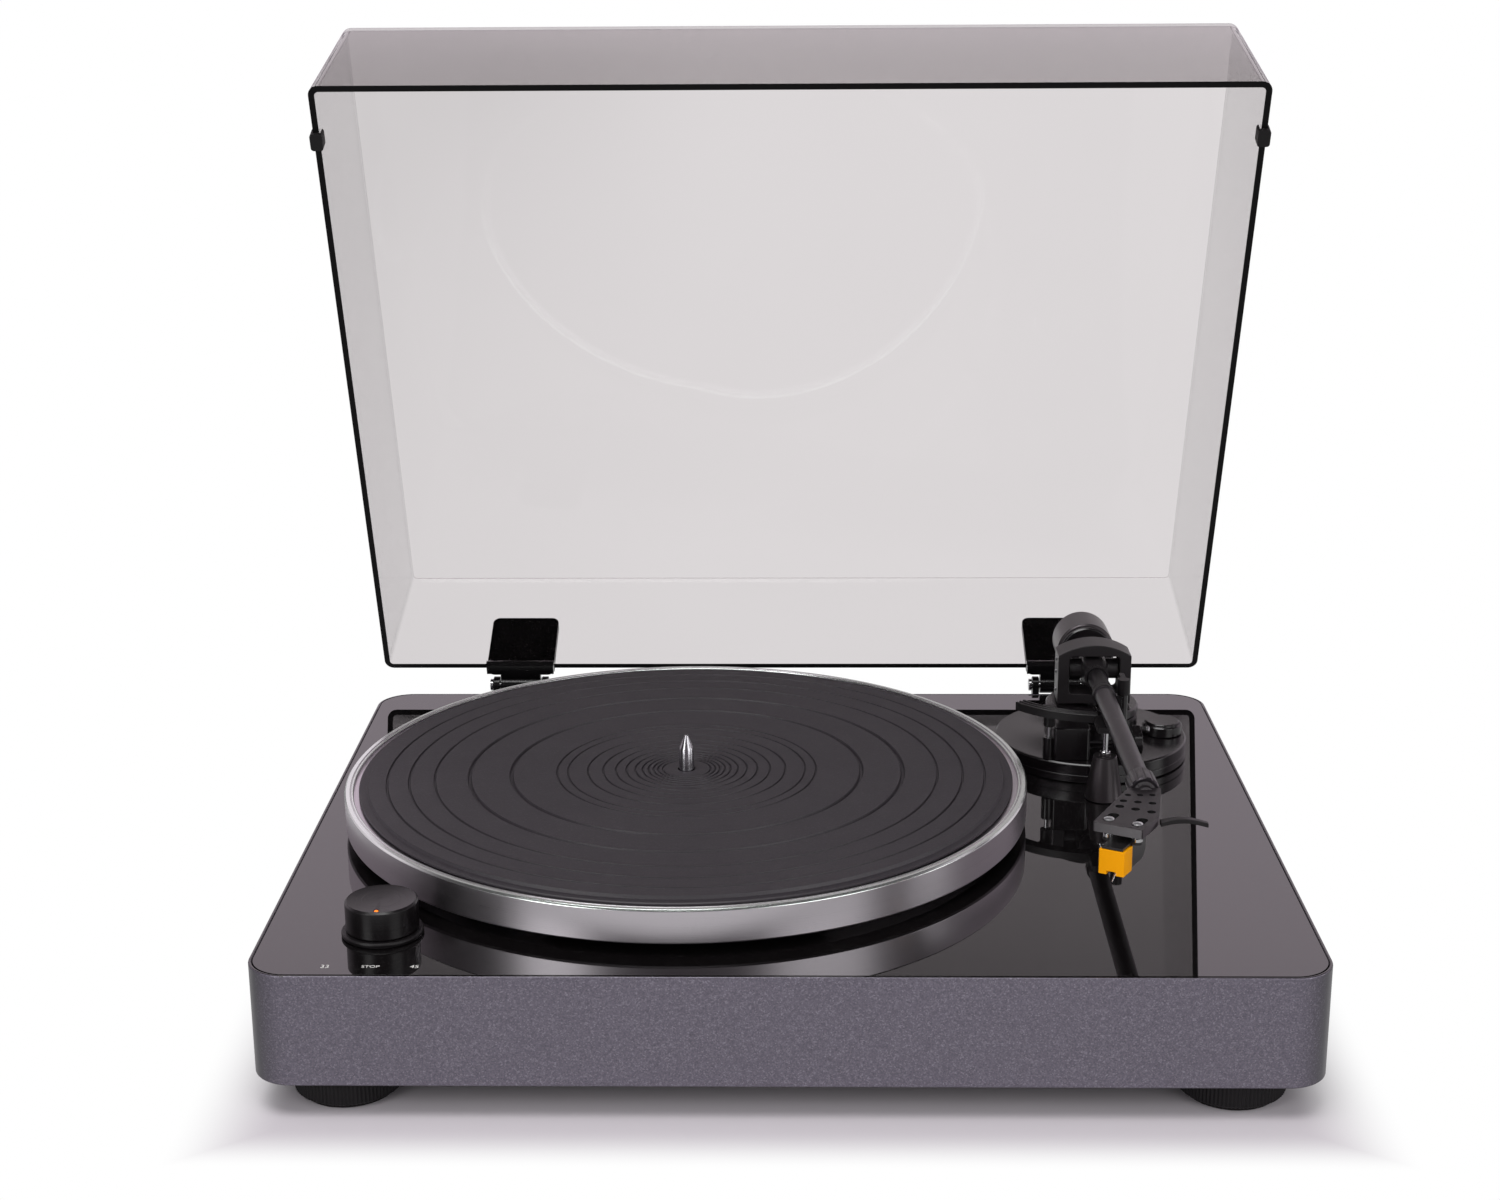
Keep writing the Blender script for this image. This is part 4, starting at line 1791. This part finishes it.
# %% Floor
black, white = (0, 0, 0, 1), (1, 1, 1, 1)
paper_grey = (0.62, 0.58, 0.62, 1)
beside_fade = (-0.015, 0.03)
before_fade = (0.008, 0.04)


def toned(tree, level, tint=white):
    """A level as a grey, or as a shade of a tint."""
    return blended(tree, level, black, tint)


def floor_paper():
    material = bpy.data.materials.new("floor_paper")
    material.use_nodes = True
    tree = material.node_tree
    tree.nodes.clear()
    place = tree.nodes.new("ShaderNodeSeparateXYZ")
    tree.links.new(tree.nodes.new("ShaderNodeTexCoord").outputs["Object"], place.inputs[0])
    aside = maths(tree, "ABSOLUTE", place.outputs["X"])
    beside = maths(tree, "SUBTRACT", aside, plinth_width / 2 * MM)
    ahead = maths(tree, "ABSOLUTE", maths(tree, "SUBTRACT", place.outputs["Y"], plinth_place.y))
    before = maths(tree, "SUBTRACT", ahead, plinth_depth / 2 * MM)
    far_share = maths(tree, "MAXIMUM", ramp(tree, beside, *beside_fade),
                      ramp(tree, before, *before_fade))
    ray = tree.nodes.new("ShaderNodeLightPath").outputs
    plain_ray = maths(tree, "MAXIMUM", ray["Is Camera Ray"],
                      maths(tree, "MAXIMUM", ray["Is Glossy Ray"], ray["Is Transmission Ray"]))
    mirrored = toned(tree, ramp(tree, aside, 0.3, 0.7, 0.6, 0.15))
    through = toned(tree, ramp(tree, place.outputs["X"], -0.9, 0.0, 0.87, 1.0))
    level = blended(tree, ray["Is Glossy Ray"], white, mirrored)
    level = blended(tree, ray["Is Transmission Ray"], level, through)
    paper = tree.nodes.new("ShaderNodeBsdfDiffuse")
    paper.inputs["Color"].default_value = paper_grey
    far_white = tree.nodes.new("ShaderNodeEmission")
    tree.links.new(level, far_white.inputs["Color"])
    mix = tree.nodes.new("ShaderNodeMixShader")
    tree.links.new(maths(tree, "MULTIPLY", plain_ray, far_share), mix.inputs[0])
    tree.links.new(paper.outputs[0], mix.inputs[1])
    tree.links.new(far_white.outputs[0], mix.inputs[2])
    out = tree.nodes.new("ShaderNodeOutputMaterial")
    tree.links.new(mix.outputs[0], out.inputs["Surface"])
    return material


floor_bm = bmesh.new()
bmesh.ops.create_grid(floor_bm, x_segments=1, y_segments=1, size=6)
floor = loose(floor_bm, "floor")
floor.data.materials.append(floor_paper())
print("floor paper reaches", beside_fade[1], "m beside and", before_fade[1], "m before the plinth")

# %% [markdown]
# The surround is white to the camera. Gloss mirrors a white backdrop behind, fainter towards the
# floor, a soft glow in front at the right, and a dark room overhead, which keeps black pieces
# black. Rays that have passed the cover see the backdrop only low down. Matt faces get an even,
# lower light, weaker at the sides, so that the lamps give the form.

# %% Surround
matt_light = 0.46
side_light = matt_light / 5
room_glimmer = 0.05
front_glow = 0.2
through_light = 0.72
mirror_tint = (1, 0.88, 0.97, 1)
through_tint = (1, 0.95, 0.98, 1)
front_x, front_y = 0.5, 0.866


def mirrored_level(tree, x, y, z):
    """What gloss sees of the surround."""
    backdrop = maths(tree, "MULTIPLY", ramp(tree, y, -0.1, 0.4), ramp(tree, z, 0.4, 0.72, 1.0, 0.0))
    backdrop = maths(tree, "MULTIPLY", backdrop, ramp(tree, z, 0.1, 0.45, 0.62, 1.0))
    toward = maths(tree, "SUBTRACT", maths(tree, "MULTIPLY", x, front_x),
                   maths(tree, "MULTIPLY", y, front_y))
    front = maths(tree, "MULTIPLY", ramp(tree, toward, 0.1, 0.45, 0.0, front_glow),
                  ramp(tree, z, 0.45, 0.7, 1.0, 0.0))
    return maths(tree, "MAXIMUM", backdrop, maths(tree, "MAXIMUM", front, room_glimmer))


def surround():
    world = bpy.data.worlds.new("surround")
    world.use_nodes = True
    tree = world.node_tree
    tree.nodes.clear()
    heading = tree.nodes.new("ShaderNodeSeparateXYZ")
    tree.links.new(tree.nodes.new("ShaderNodeTexCoord").outputs["Generated"], heading.inputs[0])
    x, y, z = heading.outputs
    even = ramp(tree, maths(tree, "ABSOLUTE", x), 0.35, 0.85, matt_light, side_light)
    through = maths(tree, "MULTIPLY", ramp(tree, z, 0.38, 0.6, through_light, room_glimmer),
                    ramp(tree, x, -0.28, 0.05, 0.88, 1.0))
    ray = tree.nodes.new("ShaderNodeLightPath").outputs
    shown = blended(tree, ray["Is Glossy Ray"], toned(tree, even),
                    toned(tree, mirrored_level(tree, x, y, z), mirror_tint))
    shown = blended(tree, ray["Is Transmission Ray"], shown, toned(tree, through, through_tint))
    shown = blended(tree, ray["Is Camera Ray"], shown, white)
    light = tree.nodes.new("ShaderNodeBackground")
    light.inputs["Strength"].default_value = 1.0
    tree.links.new(shown, light.inputs["Color"])
    out = tree.nodes.new("ShaderNodeOutputWorld")
    tree.links.new(light.outputs[0], out.inputs["Surface"])
    return world


scene.world = surround()
print(scene.world.name, "has", len(scene.world.node_tree.nodes), "nodes")

# %% [markdown]
# Four large soft lamps give the form. The one above the front draws the tops of the knob and the
# arm. Those at the left and right in front make the bright bands on the platter's side and the
# plinth's sheen, and a weak one far to the right lights the plinth's side.

# %% Lamps
lamps = [
    ("lamp_above", (-0.25, -0.5, 1.5), (0, 0, 0), 1.1, 0.7, 12),
    ("lamp_left", (-1.05, -1.25, 0.7), (0, 0, 0.05), 0.6, 0.9, 8),
    ("lamp_right", (1.15, -1.25, 0.7), (0, 0, 0.05), 1.0, 0.9, 8.5),
    ("lamp_side", (1.6, -0.25, 0.4), (0, 0, 0.07), 0.5, 0.6, 3),
]


def soft_lamp(name, place, aim, width, depth, power):
    lamp = bpy.data.lights.new(name, "AREA")
    lamp.shape = "RECTANGLE"
    lamp.size = width
    lamp.size_y = depth
    lamp.energy = power
    obj = bpy.data.objects.new(name, lamp)
    obj.location = place
    obj.rotation_euler = (Vector(aim) - Vector(place)).to_track_quat("-Z", "Y").to_euler()
    scene.collection.objects.link(obj)


for lamp_facts in lamps:
    soft_lamp(*lamp_facts)
print(len(lamps), "lamps of", sum(facts[-1] for facts in lamps), "W in all")

# %% [markdown]
# The camera stands in front of the middle, a little over a metre away, and looks down by about 17
# degrees. Its place and lens were worked out from the plinth's edges in the photograph.

# %% Camera
lens, sensor = 57.274, 36
camera_place = (0.003021, -1.107015, 0.491328)
camera_swing, camera_dip, camera_roll = 1.133, 16.621, -0.370
camera_data = bpy.data.cameras.new("camera")
camera_data.lens = lens
camera_data.sensor_width = sensor
camera = bpy.data.objects.new("camera", camera_data)
camera.matrix_world = (Matrix.Translation(camera_place)
                       @ Matrix.Rotation(math.radians(camera_swing), 4, "Z")
                       @ Matrix.Rotation(math.radians(90 - camera_dip), 4, "X")
                       @ Matrix.Rotation(math.radians(camera_roll), 4, "Z"))
scene.collection.objects.link(camera)
scene.camera = camera
scene.view_settings.view_transform = "Standard"
print("camera", round(camera.matrix_world.translation.length, 2), "m from the origin")
